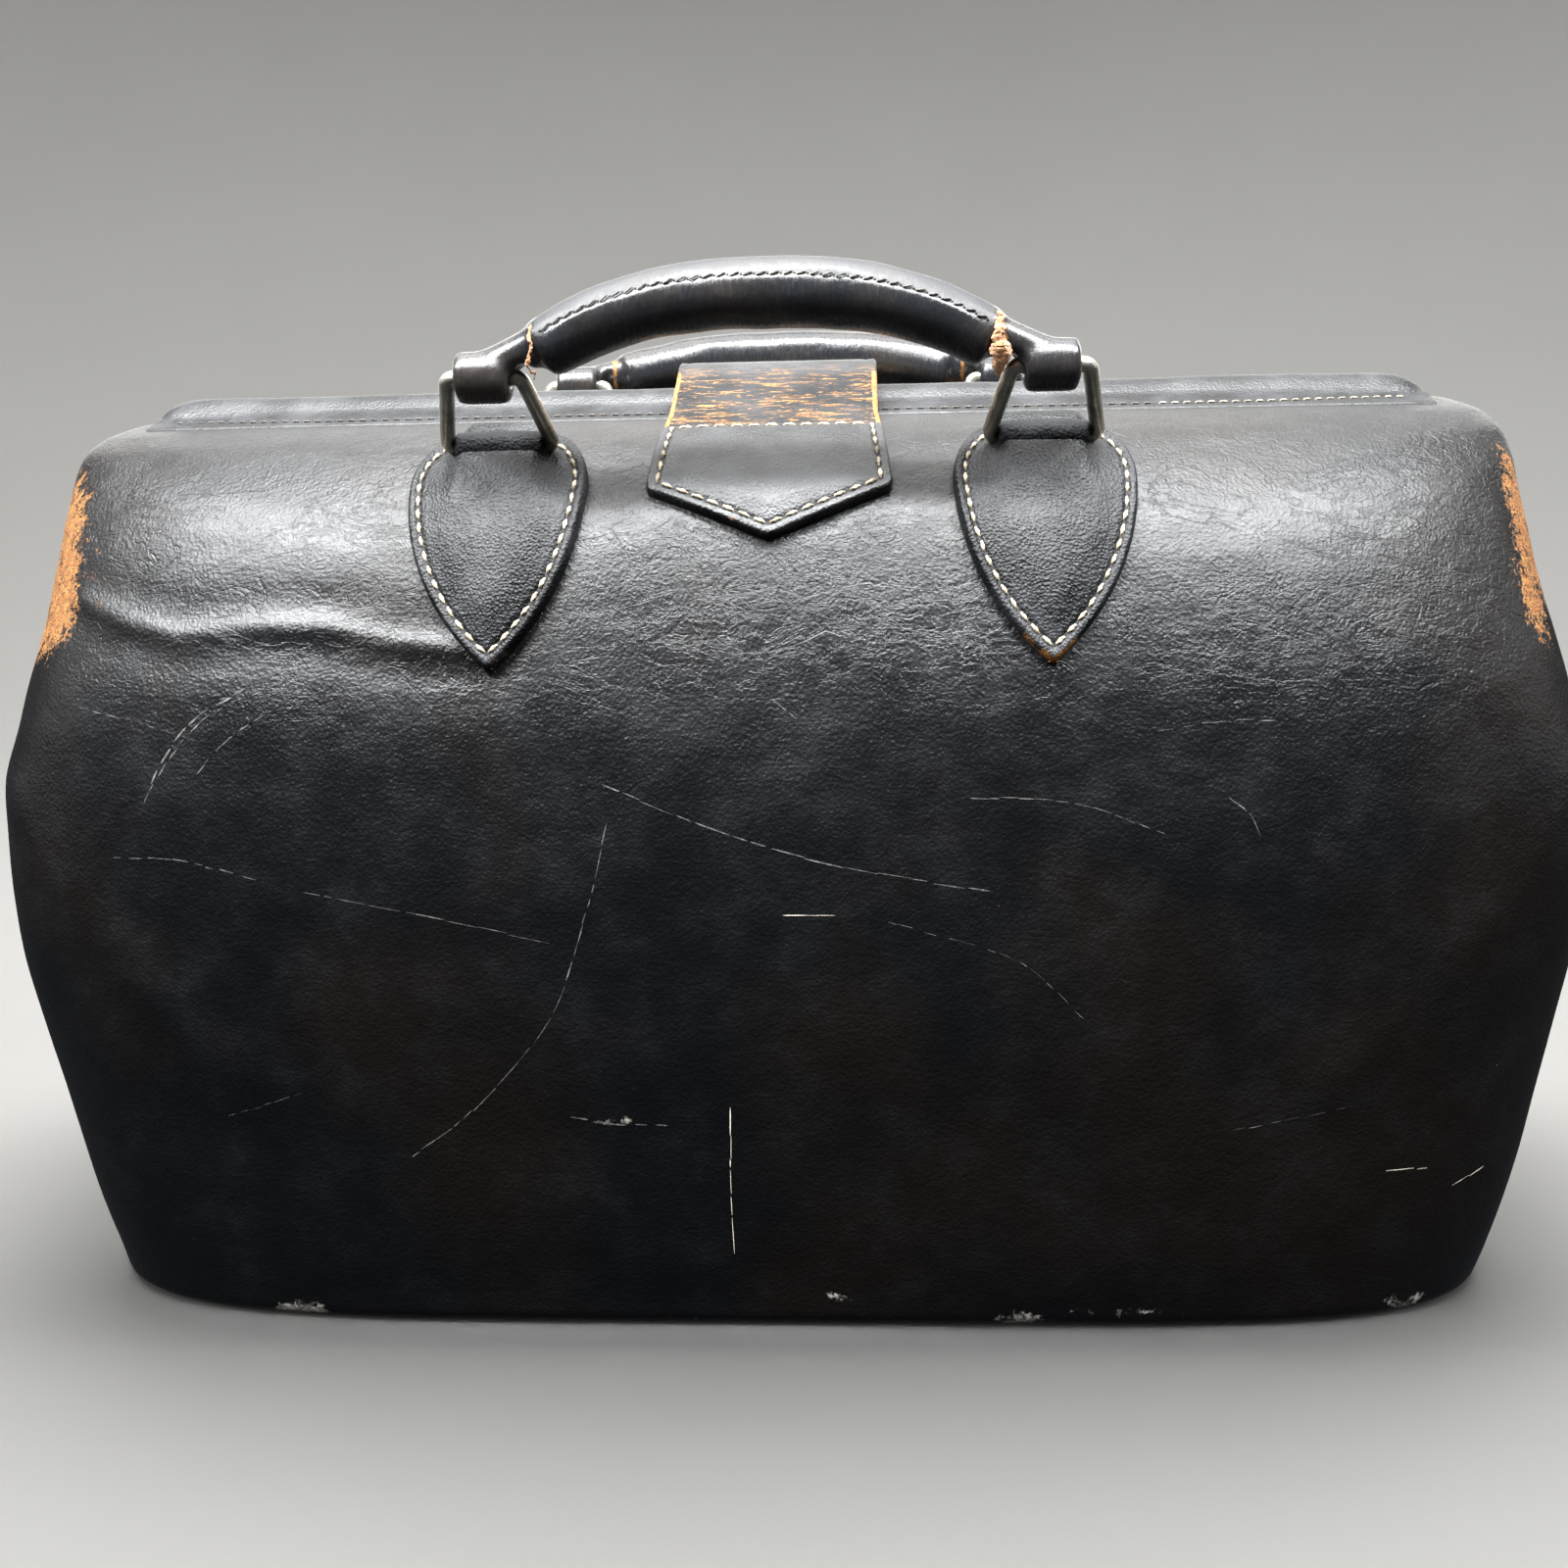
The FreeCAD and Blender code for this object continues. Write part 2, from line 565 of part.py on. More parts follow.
# ------------------------------------------------------------------ strap and lock
def make_strap():
    strap = ring_sector(STRAP_INNER, STRAP_INNER + STRAP_THICK, (STRAP_START, STRAP_END), STRAP_HALF)
    hasp = ring_sector(HASP_INNER, STRAP_INNER, HASP_SPAN, HASP_HALF)
    rivets = []
    a = math.radians(sum(HASP_SPAN) / 2)
    out = Vector(0, math.sin(a), math.cos(a))
    for sign in (1, -1):
        centre = Vector(sign * RIVET_X, 0, HINGE_Z)
        low, high = HASP_INNER + 0.6, STRAP_INNER + STRAP_THICK + 0.05
        shank = Part.makeCylinder(RIVET_SHANK, high + 0.15 - low, centre + out * low, out)
        head = Part.makeCylinder(RIVET_HEAD[0], RIVET_HEAD[1], centre + out * high, out)
        rivets.append(shank.fuse(head).removeSplitter())
    strap = strap.cut(rivets)
    hasp = hasp.cut(rivets)
    add("strap", strap)
    add("strap_hasp", hasp)
    add("hasp_rivets", Part.makeCompound(rivets))


def make_anchor():
    """The strap's sewn end: a pentagon on the front wall and the bridge up to the fold on the rail."""
    half = STRAP_WIDE_HALF
    a = math.radians(STRAP_START)
    seated = spread((level_at(ANCHOR_SHOULDER_Z), level_at(ANCHOR_TIP_Z - 6.5)), 9)
    curves = []
    for radius, distance in ((STRAP_INNER, TAB_LIFT), (STRAP_INNER + STRAP_THICK, TAB_LIFT + TAB_THICK)):
        fold_y = radius * math.sin(a) - STRAP_FOLD_GAP
        points = [Vector(-half, fold_y, HINGE_Z + radius * math.cos(a))]
        for t in seated:
            p = offset_point(face_point, 0, t, distance)
            points.append(Vector(-half, p.y, p.z))
        curve = Part.BSplineCurve()
        curve.interpolate(points)
        curves.append((curve.toShape(), points[0], points[-1]))
    ends = [Part.LineSegment(curves[0][k], curves[1][k]).toShape() for k in (1, 2)]
    face = Part.Face(Part.Wire(Part.__sortEdges__([curves[0][0], curves[1][0]] + ends)))
    band = face.extrude(Vector(2 * half, 0, 0))
    above = COVER_TOP + 20
    side = [(STRAP_HALF, above), (STRAP_HALF, ANCHOR_STRAIGHT_Z), (STRAP_WIDE_HALF, ANCHOR_CORNER_Z)]
    outline = [(-px, pz) for px, pz in side] + [(0, ANCHOR_TIP_Z)] + side[::-1]
    prism = plate_xz(outline, [0, 0, 2.5, 1.5, 2.5, 0, 0], (-OUTLINE_Y[0], 20))
    anchor = band.common(prism)
    anchor = anchor.cut(wall_block(TAB_LIFT, 2 * half))
    cover_room = box((-2 * half, 2 * half), (-COVER_FACE - 0.25, 5), (ANCHOR_SHOULDER_Z, COVER_TOP + 0.25))
    add("strap_anchor", anchor.cut(cover_room))


def make_lock():
    wide = 2 * CASE_HALF
    case = ring_sector(CASE_INNER, CASE_OUTER, CASE_SPAN, CASE_HALF)
    case = case.cut(mirrored(wall_block(TAB_LIFT, wide)))
    case = case.cut(box((-wide, wide), (-5, COVER_FACE + 0.3), (UPPER_BOTTOM, COVER_TOP + 20)))
    button = ring_sector(CASE_OUTER + 0.3, BUTTON_OUTER, BUTTON_SPAN, BUTTON_HALF)
    button.translate(Vector(-BUTTON_TRAVEL / 2, 0, 0))
    middle = sum(BUTTON_SPAN) / 2
    stem_span = (middle - STEM_TURN, middle + STEM_TURN)
    stem = ring_sector(CASE_OUTER - 2.5, CASE_OUTER + 0.6, stem_span, STEM_HALF)
    stem.translate(Vector(-BUTTON_TRAVEL / 2, 0, 0))
    slot_span = (stem_span[0] - 0.2, stem_span[1] + 0.2)
    slot = ring_sector(CASE_OUTER - 3.0, CASE_OUTER + 1, slot_span, STEM_HALF + 0.4 + BUTTON_TRAVEL / 2)
    add("lock_case", case.cut(slot))
    add("lock_button", button.fuse(stem).removeSplitter())


def main():
    make_base()
    make_walls()
    make_linings()
    make_frame()
    make_hinge()
    make_carry()
    make_strap()
    make_anchor()
    make_lock()
    os.makedirs("parts", exist_ok=True)
    for name, shape in PARTS.items():
        shape.exportStep("parts/" + name + ".step")
        print(name, len(shape.Solids), shape.isValid(), round(shape.Volume, 1))


main()
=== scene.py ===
"""Leather doctor bag: everything soft or worn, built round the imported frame.

Shapes are worked out in millimetres, +Z up, -Y the side that the closing strap is sewn to, and scaled to
metres when a mesh is made.
"""
import bmesh
import bpy
import math
import numpy as np
from mathutils import Matrix, Vector


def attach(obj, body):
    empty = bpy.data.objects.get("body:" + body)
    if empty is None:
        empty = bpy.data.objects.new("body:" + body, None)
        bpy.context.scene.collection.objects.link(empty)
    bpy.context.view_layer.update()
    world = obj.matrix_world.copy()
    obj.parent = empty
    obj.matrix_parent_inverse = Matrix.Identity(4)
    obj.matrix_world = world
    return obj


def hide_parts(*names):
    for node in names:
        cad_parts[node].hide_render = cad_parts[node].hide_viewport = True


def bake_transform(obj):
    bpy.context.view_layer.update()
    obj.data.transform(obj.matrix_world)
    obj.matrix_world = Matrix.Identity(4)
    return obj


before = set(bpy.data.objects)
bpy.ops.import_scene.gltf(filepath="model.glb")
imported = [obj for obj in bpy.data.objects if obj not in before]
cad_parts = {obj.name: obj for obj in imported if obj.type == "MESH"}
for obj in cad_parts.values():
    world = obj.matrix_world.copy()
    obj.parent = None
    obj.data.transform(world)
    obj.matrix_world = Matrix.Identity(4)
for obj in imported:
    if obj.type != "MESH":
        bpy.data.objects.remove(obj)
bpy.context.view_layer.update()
MM = 0.001

# ------------------------------------------------------------------ the bag's dimensions
WALL_LEVELS = np.array([     # height, half width, half length, squareness of the plan outline
    (0.0, 91.0, 205.0, 5.0), (30.0, 94.5, 213.0, 4.8), (75.0, 96.5, 223.0, 4.5),
    (110.0, 96.5, 229.0, 4.3), (142.0, 94.5, 230.0, 4.1), (170.0, 90.0, 223.0, 4.0),
    (195.0, 83.0, 216.0, 3.8), (215.0, 74.5, 212.5, 3.6), (229.0, 64.0, 211.0, 3.5),
    (238.5, 51.5, 210.0, 3.4), (245.0, 35.0, 205.5, 3.6), (249.0, 18.0, 197.0, 4.5),
    (250.5, 9.0, 189.0, 8.0)])
MID_GAP = 0.5
LEATHER = 2.6
HINGE_Z = 142.0
BAND = (250.8, 257.3, 189.0)            # bottom, top and half length of the leather over the rail
TAB_X = 72.0
TAB_THICK = 3.2
TAB_NECK = 11.0
TAB_WIDEST = (23.9, 228.0)
TAB_SHOULDER = (21.0, 236.5)
TAB_FLANK = (19.6, 208.5)
TAB_TIP = (1.2, 183.0)
RING_HINGE = (59.0, 239.5)
RING_HEIGHT = 23.0
LOOP_RADIUS = 4.3
ROLL_HALF_THICK = 0.95                  # of the tab's neck, rolled round the ring
HANDLE_RISE, HANDLE_SPAN = 19.0, 66.0
GRIP = (8.7, 7.6, 58.0)                 # radius in the middle, at the end, and where the grip ends
END_LOOP = (6.6, 7.2)                   # radius, half length
WIRE_HOLE = 2.25
LEANS = {"front": (42.0, 0.0), "back": (2.0, 60.0)}      # of the rings and of the handle
STRAP_HALF, STRAP_WIDE = 29.2, 32.4
STRAP_THICK = 3.0
STRAP_INNER = 118.2
STRAP_SPAN = (-5.2, 19.5)
ANCHOR_SHOULDER, ANCHOR_CORNER, ANCHOR_TIP = 243.0, 226.5, 214.5


# ------------------------------------------------------------------ numbers
def smooth(low, high, value):
    t = np.clip((np.asarray(value, float) - low) / (high - low), 0, 1)
    return t * t * (3 - 2 * t)


def soft_noise(u, v, seed):
    """Smooth seeded noise between -1 and 1, one lump per unit."""
    table = np.random.default_rng(seed).uniform(-1, 1, (64, 64))
    u, v = np.asarray(u, float), np.asarray(v, float)
    i, j = np.floor(u).astype(int), np.floor(v).astype(int)
    fu, fv = u - i, v - j
    fu, fv = fu * fu * (3 - 2 * fu), fv * fv * (3 - 2 * fv)
    low = table[i % 64, j % 64] * (1 - fu) + table[(i + 1) % 64, j % 64] * fu
    high = table[i % 64, (j + 1) % 64] * (1 - fu) + table[(i + 1) % 64, (j + 1) % 64] * fu
    return low * (1 - fv) + high * fv


def resample(points, step):
    """A smooth line through the points, with even steps."""
    points = np.asarray(points, float)
    padded = np.vstack([2 * points[0] - points[1], points, 2 * points[-1] - points[-2]])
    pieces = []
    for k in range(len(points) - 1):
        a, b, c, d = padded[k:k + 4]
        t = np.linspace(0, 1, 24, endpoint=False)[:, None]
        pieces.append(0.5 * (2 * b + (c - a) * t + (2 * a - 5 * b + 4 * c - d) * t**2
                             + (3 * b - a - 3 * c + d) * t**3))
    line = np.vstack(pieces + [points[-1:]])
    return even(line, step)


def length_along(line):
    """Distance from a line's start to each of its points."""
    return np.concatenate([[0], np.cumsum(np.linalg.norm(np.diff(line, axis=0), axis=1))])


def even(line, step):
    """The same line with even steps."""
    length = length_along(line)
    count = max(int(round(length[-1] / step)), 2) + 1
    places = np.linspace(0, length[-1], count)
    return np.stack([np.interp(places, length, line[:, k]) for k in range(line.shape[1])], 1)


def distance_to(line, u, v):
    """Distance of the points (u, v) from a polyline."""
    best = np.full(np.shape(u), 1e9)
    for (au, av), (bu, bv) in zip(line[:-1], line[1:]):
        du, dv = bu - au, bv - av
        t = np.clip(((u - au) * du + (v - av) * dv) / max(du * du + dv * dv, 1e-9), 0, 1)
        best = np.minimum(best, np.hypot(u - au - t * du, v - av - t * dv))
    return best


def facing(points, side):
    """Points or normals of the front, turned to the given side."""
    return points * (1, -1, 1) if side == "back" else points


def unit(vectors):
    return vectors / np.maximum(np.linalg.norm(vectors, axis=-1, keepdims=True), 1e-9)


# ------------------------------------------------------------------ the wall surface
def level(t):
    last = len(WALL_LEVELS) - 1
    t = np.asarray(t, float)
    index = np.clip(t.astype(int), 0, last - 1)
    f = (t - index)[..., None]
    a, b, c, d = (WALL_LEVELS[np.clip(index + k, 0, last)] for k in (-1, 0, 1, 2))
    slope_b = np.where((index > 0)[..., None], (c - a) / 2, c - b)
    slope_c = np.where((index < last - 1)[..., None], (d - b) / 2, c - b)
    return ((2 * f**3 - 3 * f**2 + 1) * b + (f**3 - 2 * f**2 + f) * slope_b
            + (3 * f**2 - 2 * f**3) * c + (f**3 - f**2) * slope_c)


LEVEL_T = np.linspace(0, len(WALL_LEVELS) - 1, 2401)
LEVEL_Z = level(LEVEL_T)[:, 0]


def level_at(z):
    return np.interp(z, LEVEL_Z, LEVEL_T)


def wall_point(angle, t, gap=MID_GAP):
    """Front wall at a plan angle in degrees (0 is +X, 90 the middle of the front)."""
    z, half_width, half_length, square = np.moveaxis(level(t), -1, 0)
    c, s = np.cos(np.radians(angle)), np.sin(np.radians(angle))
    size = (np.abs(c)**square + np.abs(s)**square)**(1 / square)
    return np.stack([half_length * c / size, -gap - (half_width - gap) * s / size, z + 0 * c], -1)


def face_point(x, t):
    z, half_width, half_length, square = np.moveaxis(level(t), -1, 0)
    reach = np.maximum(1 - np.abs(x / half_length)**square, 0)**(1 / square)
    return np.stack([x + 0 * z, -MID_GAP - (half_width - MID_GAP) * reach, z + 0 * x], -1)


def wall_normal(place, a, t):
    step_a, step_t = 0.05, 0.01
    top = len(WALL_LEVELS) - 1
    along = place(a + step_a, t) - place(a - step_a, t)
    up = place(a, np.minimum(t + step_t, top)) - place(a, np.maximum(t - step_t, 0))
    normal = unit(np.cross(up, along))
    point = place(a, t)
    outward = normal[..., 0] * point[..., 0] + normal[..., 1] * 4 * point[..., 1] + normal[..., 2] * 30
    return normal * np.where(outward < 0, -1, 1)[..., None]


CREASE = {"front": [(-190, 201), (-172, 195), (-158, 192), (-133, 194), (-116, 194), (-95, 190), (-74, 188)],
          "back": [(150, 203), (120, 198), (96, 199), (70, 195)]}


def wall_relief(x, z, side):
    """How far the worn leather stands in or out of the even wall."""
    seed = 3 if side == "front" else 40
    upper = smooth(150, 215, z)
    fade = smooth(0, 12, z) * smooth(250, 240, z)
    relief = 0.55 * soft_noise(x / 70, z / 46, seed) + 0.22 * soft_noise(x / 27 + 9, z / 19, seed + 1)
    relief += upper * 0.16 * soft_noise(x / 17, z / 5.5, seed + 2)
    crease = distance_to(CREASE[side], x, z)
    relief += 0.75 * np.exp(-(crease / 2.4)**2) - 0.45 * np.exp(-((crease - 7) / 4)**2)
    for sign in (1, -1):
        fold = distance_to([(sign * 218, 150), (sign * 190, 118), (sign * 146, 74)], x, z)
        relief += 0.9 * np.exp(-(fold / 9)**2)
        dent = ((x - sign * 204) / 17)**2 + ((z - 88) / 34)**2
        relief -= 1.7 * np.exp(-dent)
    return relief * fade


def on_wall(x, z, side, lift=0.0):
    """A point over the worn wall, and the wall's normal there."""
    t = level_at(z)
    normal = wall_normal(face_point, x, t)
    point = face_point(x, t) + normal * (wall_relief(x, z, side) + lift)[..., None]
    return facing(point, side), facing(normal, side)


# ------------------------------------------------------------------ meshes
def quads(rows, columns, around=False, start=0):
    r, c = np.meshgrid(np.arange(rows - 1), np.arange(columns if around else columns - 1), indexing="ij")
    nxt = (c + 1) % columns
    faces = np.stack([r * columns + c, r * columns + nxt, (r + 1) * columns + nxt, (r + 1) * columns + c], -1)
    return faces.reshape(-1, 4) + start


def capped(rings, sides):
    """Faces round a stack of rings, closed by one face at each end."""
    faces = [list(face) for face in quads(rings, sides, around=True)]
    return faces + [list(range(sides))[::-1], [(rings - 1) * sides + k for k in range(sides)]]


def make_object(name, points, faces, materials, material_index=None, sharp=38.0):
    """A mesh object; each point's rest place is kept for its material."""
    points = np.asarray(points, float).reshape(-1, 3) * MM
    mesh = bpy.data.meshes.new(name)
    mesh.from_pydata(points.tolist(), [], [list(face) for face in faces])
    for material in materials:
        mesh.materials.append(material)
    if material_index is not None:
        mesh.polygons.foreach_set("material_index", np.asarray(material_index, np.int32))
    mesh.polygons.foreach_set("use_smooth", np.ones(len(mesh.polygons), bool))
    obj = bpy.data.objects.new(name, mesh)
    bpy.context.scene.collection.objects.link(obj)
    point_outward(mesh)
    mesh.set_sharp_from_angle(angle=math.radians(sharp))
    keep_place(obj)
    return obj


def point_outward(mesh):
    """Makes the face normals agree and point out."""
    bm = bmesh.new()
    bm.from_mesh(mesh)
    bmesh.ops.recalc_face_normals(bm, faces=bm.faces)
    bm.to_mesh(mesh)
    bm.free()


def keep_place(obj):
    mesh = obj.data
    place = mesh.attributes.get("place") or mesh.attributes.new("place", "FLOAT_VECTOR", "POINT")
    co = np.zeros(len(mesh.vertices) * 3, np.float32)
    mesh.vertices.foreach_get("co", co)
    place.data.foreach_set("vector", co)


def paint(obj, name, values):
    attribute = obj.data.attributes.new(name, "FLOAT", "POINT")
    attribute.data.foreach_set("value", np.asarray(values, np.float32).ravel())


def closed_sheet(outer, inner):
    """Points and faces of the solid between two grids of points."""
    rows, columns = outer.shape[:2]
    count = rows * columns
    faces = [quads(rows, columns), quads(rows, columns, start=count)[:, ::-1]]
    r, c = np.arange(rows), np.arange(columns)
    borders = [c, (rows - 1) * columns + c, r * columns, r * columns + columns - 1]
    for border in borders:
        faces.append(np.stack([border[:-1], border[1:], border[1:] + count, border[:-1] + count], -1))
    return np.vstack([outer.reshape(-1, 3), inner.reshape(-1, 3)]), np.vstack(faces)


def tube(path, radii, sides=28, flat=1.0):
    """Points and faces of a closed tube along a path; radii may vary along it, flat scales it sideways."""
    path = np.asarray(path, float)
    radii = np.broadcast_to(radii, len(path))
    tangent = unit(np.gradient(path, axis=0))
    guide = np.array([0.0, 1.0, 0.0]) if abs(tangent[0][1]) < 0.8 else np.array([0.0, 0.0, 1.0])
    side = unit(np.cross(tangent, guide))
    other = np.cross(side, tangent)
    phi = np.linspace(0, 2 * math.pi, sides, endpoint=False)
    ring = (np.cos(phi)[None, :, None] * side[:, None, :]
            + np.sin(phi)[None, :, None] * other[:, None, :] * flat)
    points = path[:, None, :] + ring * radii[:, None, None]
    return points.reshape(-1, 3), capped(len(path), sides)


def joined(parts):
    """Several (points, faces) as one."""
    points, faces, count = [], [], 0
    for part_points, part_faces in parts:
        points.append(part_points)
        faces += [[index + count for index in face] for face in part_faces]
        count += len(part_points)
    return np.vstack(points), faces


def finish_mesh(obj, *modifiers):
    """Adds the modifiers and makes their result the object's mesh."""
    for kind, settings in modifiers:
        modifier = obj.modifiers.new(kind.lower(), kind)
        for key, value in settings.items():
            setattr(modifier, key, value)
    graph = bpy.context.evaluated_depsgraph_get()
    mesh = bpy.data.meshes.new_from_object(obj.evaluated_get(graph))
    obj.modifiers.clear()
    obj.data = mesh
    mesh.polygons.foreach_set("use_smooth", np.ones(len(mesh.polygons), bool))
    keep_place(obj)
    return obj


def coordinates(obj):
    co = np.zeros(len(obj.data.vertices) * 3)
    obj.data.vertices.foreach_get("co", co)
    return co.reshape(-1, 3) / MM


# ------------------------------------------------------------------ materials
class Graph:
    """A Principled material and short ways to add nodes to it."""

    def __init__(self, name, carried=False, **shader):
        self.material = bpy.data.materials.new(name)
        self.material.use_nodes = True
        self.nodes = self.material.node_tree.nodes
        self.links = self.material.node_tree.links
        self.shader = self.nodes["Principled BSDF"]
        for key, value in shader.items():
            self.shader.inputs[key.replace("_", " ")].default_value = value
        if carried:
            self.place = self.node("ShaderNodeTexCoord").outputs["Object"]
        else:
            self.place = self.node("ShaderNodeAttribute", attribute_name="place").outputs["Vector"]

    def node(self, kind, **settings):
        node = self.nodes.new(kind)
        for key, value in settings.items():
            setattr(node, key, value)
        return node

    def put(self, socket, value):
        if isinstance(value, bpy.types.NodeSocket):
            self.links.new(value, socket)
        else:
            socket.default_value = value

    def mask(self, name):
        return self.node("ShaderNodeAttribute", attribute_name=name).outputs["Fac"]

    def scaled(self, scale, place=None):
        node = self.node("ShaderNodeMapping")
        self.put(node.inputs["Vector"], place or self.place)
        node.inputs["Scale"].default_value = scale
        return node.outputs[0]

    def noise(self, scale, detail=4.0, rough=0.6, distortion=0.0, place=None):
        node = self.node("ShaderNodeTexNoise")
        self.put(node.inputs["Vector"], place or self.place)
        settings = {"Scale": scale, "Detail": detail, "Roughness": rough, "Distortion": distortion}
        for key, value in settings.items():
            node.inputs[key].default_value = value
        return node.outputs[0]

    def cells(self, scale, feature="F1", place=None):
        node = self.node("ShaderNodeTexVoronoi", feature=feature)
        self.put(node.inputs["Vector"], place or self.place)
        node.inputs["Scale"].default_value = scale
        return node.outputs["Distance"]

    def math(self, operation, a, b=0.5):
        node = self.node("ShaderNodeMath", operation=operation)
        self.put(node.inputs[0], a)
        self.put(node.inputs[1], b)
        return node.outputs[0]

    def times(self, a, b):
        return self.math("MULTIPLY", a, b)

    def plus(self, a, b):
        return self.math("ADD", a, b)

    def minus(self, a, b):
        return self.math("SUBTRACT", a, b)

    def ribs(self, direction):
        """Fine parallel ribs across a direction, for a weave."""
        dot = self.node("ShaderNodeVectorMath", operation="DOT_PRODUCT")
        self.put(dot.inputs[0], self.place)
        dot.inputs[1].default_value = direction
        wave = self.math("SINE", self.times(dot.outputs["Value"], WEAVE_PER_METRE * 2 * math.pi))
        return self.times(self.plus(wave, 1.0), 0.5)

    def spread(self, value, low, high, out_low=0.0, out_high=1.0):
        node = self.node("ShaderNodeMapRange", interpolation_type="SMOOTHSTEP")
        for key, number in zip(range(5), (value, low, high, out_low, out_high)):
            self.put(node.inputs[key], number)
        return node.outputs[0]

    def mix(self, amount, a, b):
        node = self.node("ShaderNodeMix", data_type="RGBA")
        self.put(node.inputs[0], amount)
        for index, value in ((6, a), (7, b)):
            if not isinstance(value, bpy.types.NodeSocket):
                value = (*value, 1.0)
            self.put(node.inputs[index], value)
        return node.outputs[2]

    def bump(self, height, distance, strength=1.0, normal=None):
        node = self.node("ShaderNodeBump")
        self.put(node.inputs["Height"], height)
        node.inputs["Distance"].default_value = distance
        self.put(node.inputs["Strength"], strength)
        if normal is not None:
            self.put(node.inputs["Normal"], normal)
        return node.outputs[0]

    def out(self, **sockets):
        for key, value in sockets.items():
            self.put(self.shader.inputs[key.replace("_", " ")], value)
        return self.material


BLACK = (0.0008, 0.0010, 0.0014)
# warm brown-black: partly the leather's own tone, partly a painted warm reflection of the surroundings
WARM_TONE_AND_REFLECTION = (0.0020, 0.0014, 0.0011)
TAN = (0.105, 0.037, 0.007)
PALE_TAN = (0.17, 0.078, 0.018)
GREY = (0.050, 0.052, 0.054)
WEAVE_PER_METRE = 520.0


def wall_leather():
    g = Graph("wall_leather", Specular_IOR_Level=0.28, Coat_Weight=0.08, Coat_Roughness=0.25)
    wear, dry, upper, dust = g.mask("wear"), g.mask("dry"), g.mask("upper"), g.mask("dust")
    broad = g.noise(9.0, 3.0)
    blotch = g.noise(55.0, 5.0, 0.65)
    grain = g.noise(1500.0, 3.0, 0.6)
    pebble = g.cells(950.0)
    ridge = g.math("ABSOLUTE", g.minus(g.noise(150.0, 5.0, 0.62, 0.7, g.scaled((0.75, 0.8, 1.5))), 0.5))
    wrinkle = g.spread(ridge, 0.0, 0.07)
    lines = g.math("ABSOLUTE", g.minus(g.noise(46.0, 5.0, 0.6, 0.9, g.scaled((0.8, 0.8, 1.7))), 0.5))
    cracked = g.spread(lines, 0.0, 0.016)
    fine = g.noise(2600.0, 2.0)
    # broad random patches of warm brown-black: partly the leather's own tone, partly a painted warm
    # reflection
    colour = g.mix(g.spread(broad, 0.42, 0.62), BLACK, WARM_TONE_AND_REFLECTION)
    colour = g.mix(g.times(g.spread(blotch, 0.5, 0.75), 0.35), colour, (0.0030, 0.0032, 0.0038))
    worn = g.plus(g.times(dry, 0.55), g.times(g.minus(fine, 0.5), 0.9))
    colour = g.mix(g.times(g.spread(worn, 0.32, 0.6), 0.8), colour, GREY)
    speck = g.noise(230.0, 6.0, 0.72, 0.4)
    flakes = g.plus(g.times(speck, 1.7), g.times(g.noise(1000.0, 4.0, 0.7), 1.5))
    rubbed = g.plus(g.times(wear, 0.82), g.minus(flakes, 1.6))
    rubbed = g.spread(rubbed, 0.58, 0.66)
    hide = g.mix(g.spread(g.noise(420.0, 4.0, 0.7), 0.35, 0.7), TAN, PALE_TAN)
    hide = g.mix(g.times(g.spread(g.noise(700.0, 3.0), 0.55, 0.7), 0.75), hide, (0.028, 0.012, 0.006))
    colour = g.mix(rubbed, colour, hide)
    chalk = g.plus(dust, g.times(g.minus(speck, 0.5), 1.6))
    chalk = g.spread(chalk, 0.62, 0.9)
    colour = g.mix(g.times(chalk, 0.8), colour, (0.36, 0.34, 0.31))
    rough = g.plus(g.spread(blotch, 0.3, 0.75, 0.30, 0.42), g.times(upper, 0.06))
    rough = g.math("MAXIMUM", rough, g.times(rubbed, 0.82))
    patchy = g.times(upper, g.spread(g.noise(17.0, 3.0), 0.42, 0.60, 0.25, 1.0))
    creased = g.times(wrinkle, g.plus(g.times(patchy, 0.88), 0.12))
    normal = g.bump(g.noise(130.0, 3.0), 0.0009, 0.35)
    normal = g.bump(g.times(cracked, upper), 0.0004, 0.4, normal)
    normal = g.bump(creased, 0.00035, 0.38, normal)
    normal = g.bump(pebble, 0.00022, 0.5, normal)
    normal = g.bump(grain, 0.00022, 0.6, normal)
    normal = g.bump(g.times(rubbed, g.noise(1100.0, 4.0)), 0.0006, 0.8, normal)
    return g.out(Base_Color=colour, Roughness=rough, Normal=normal)


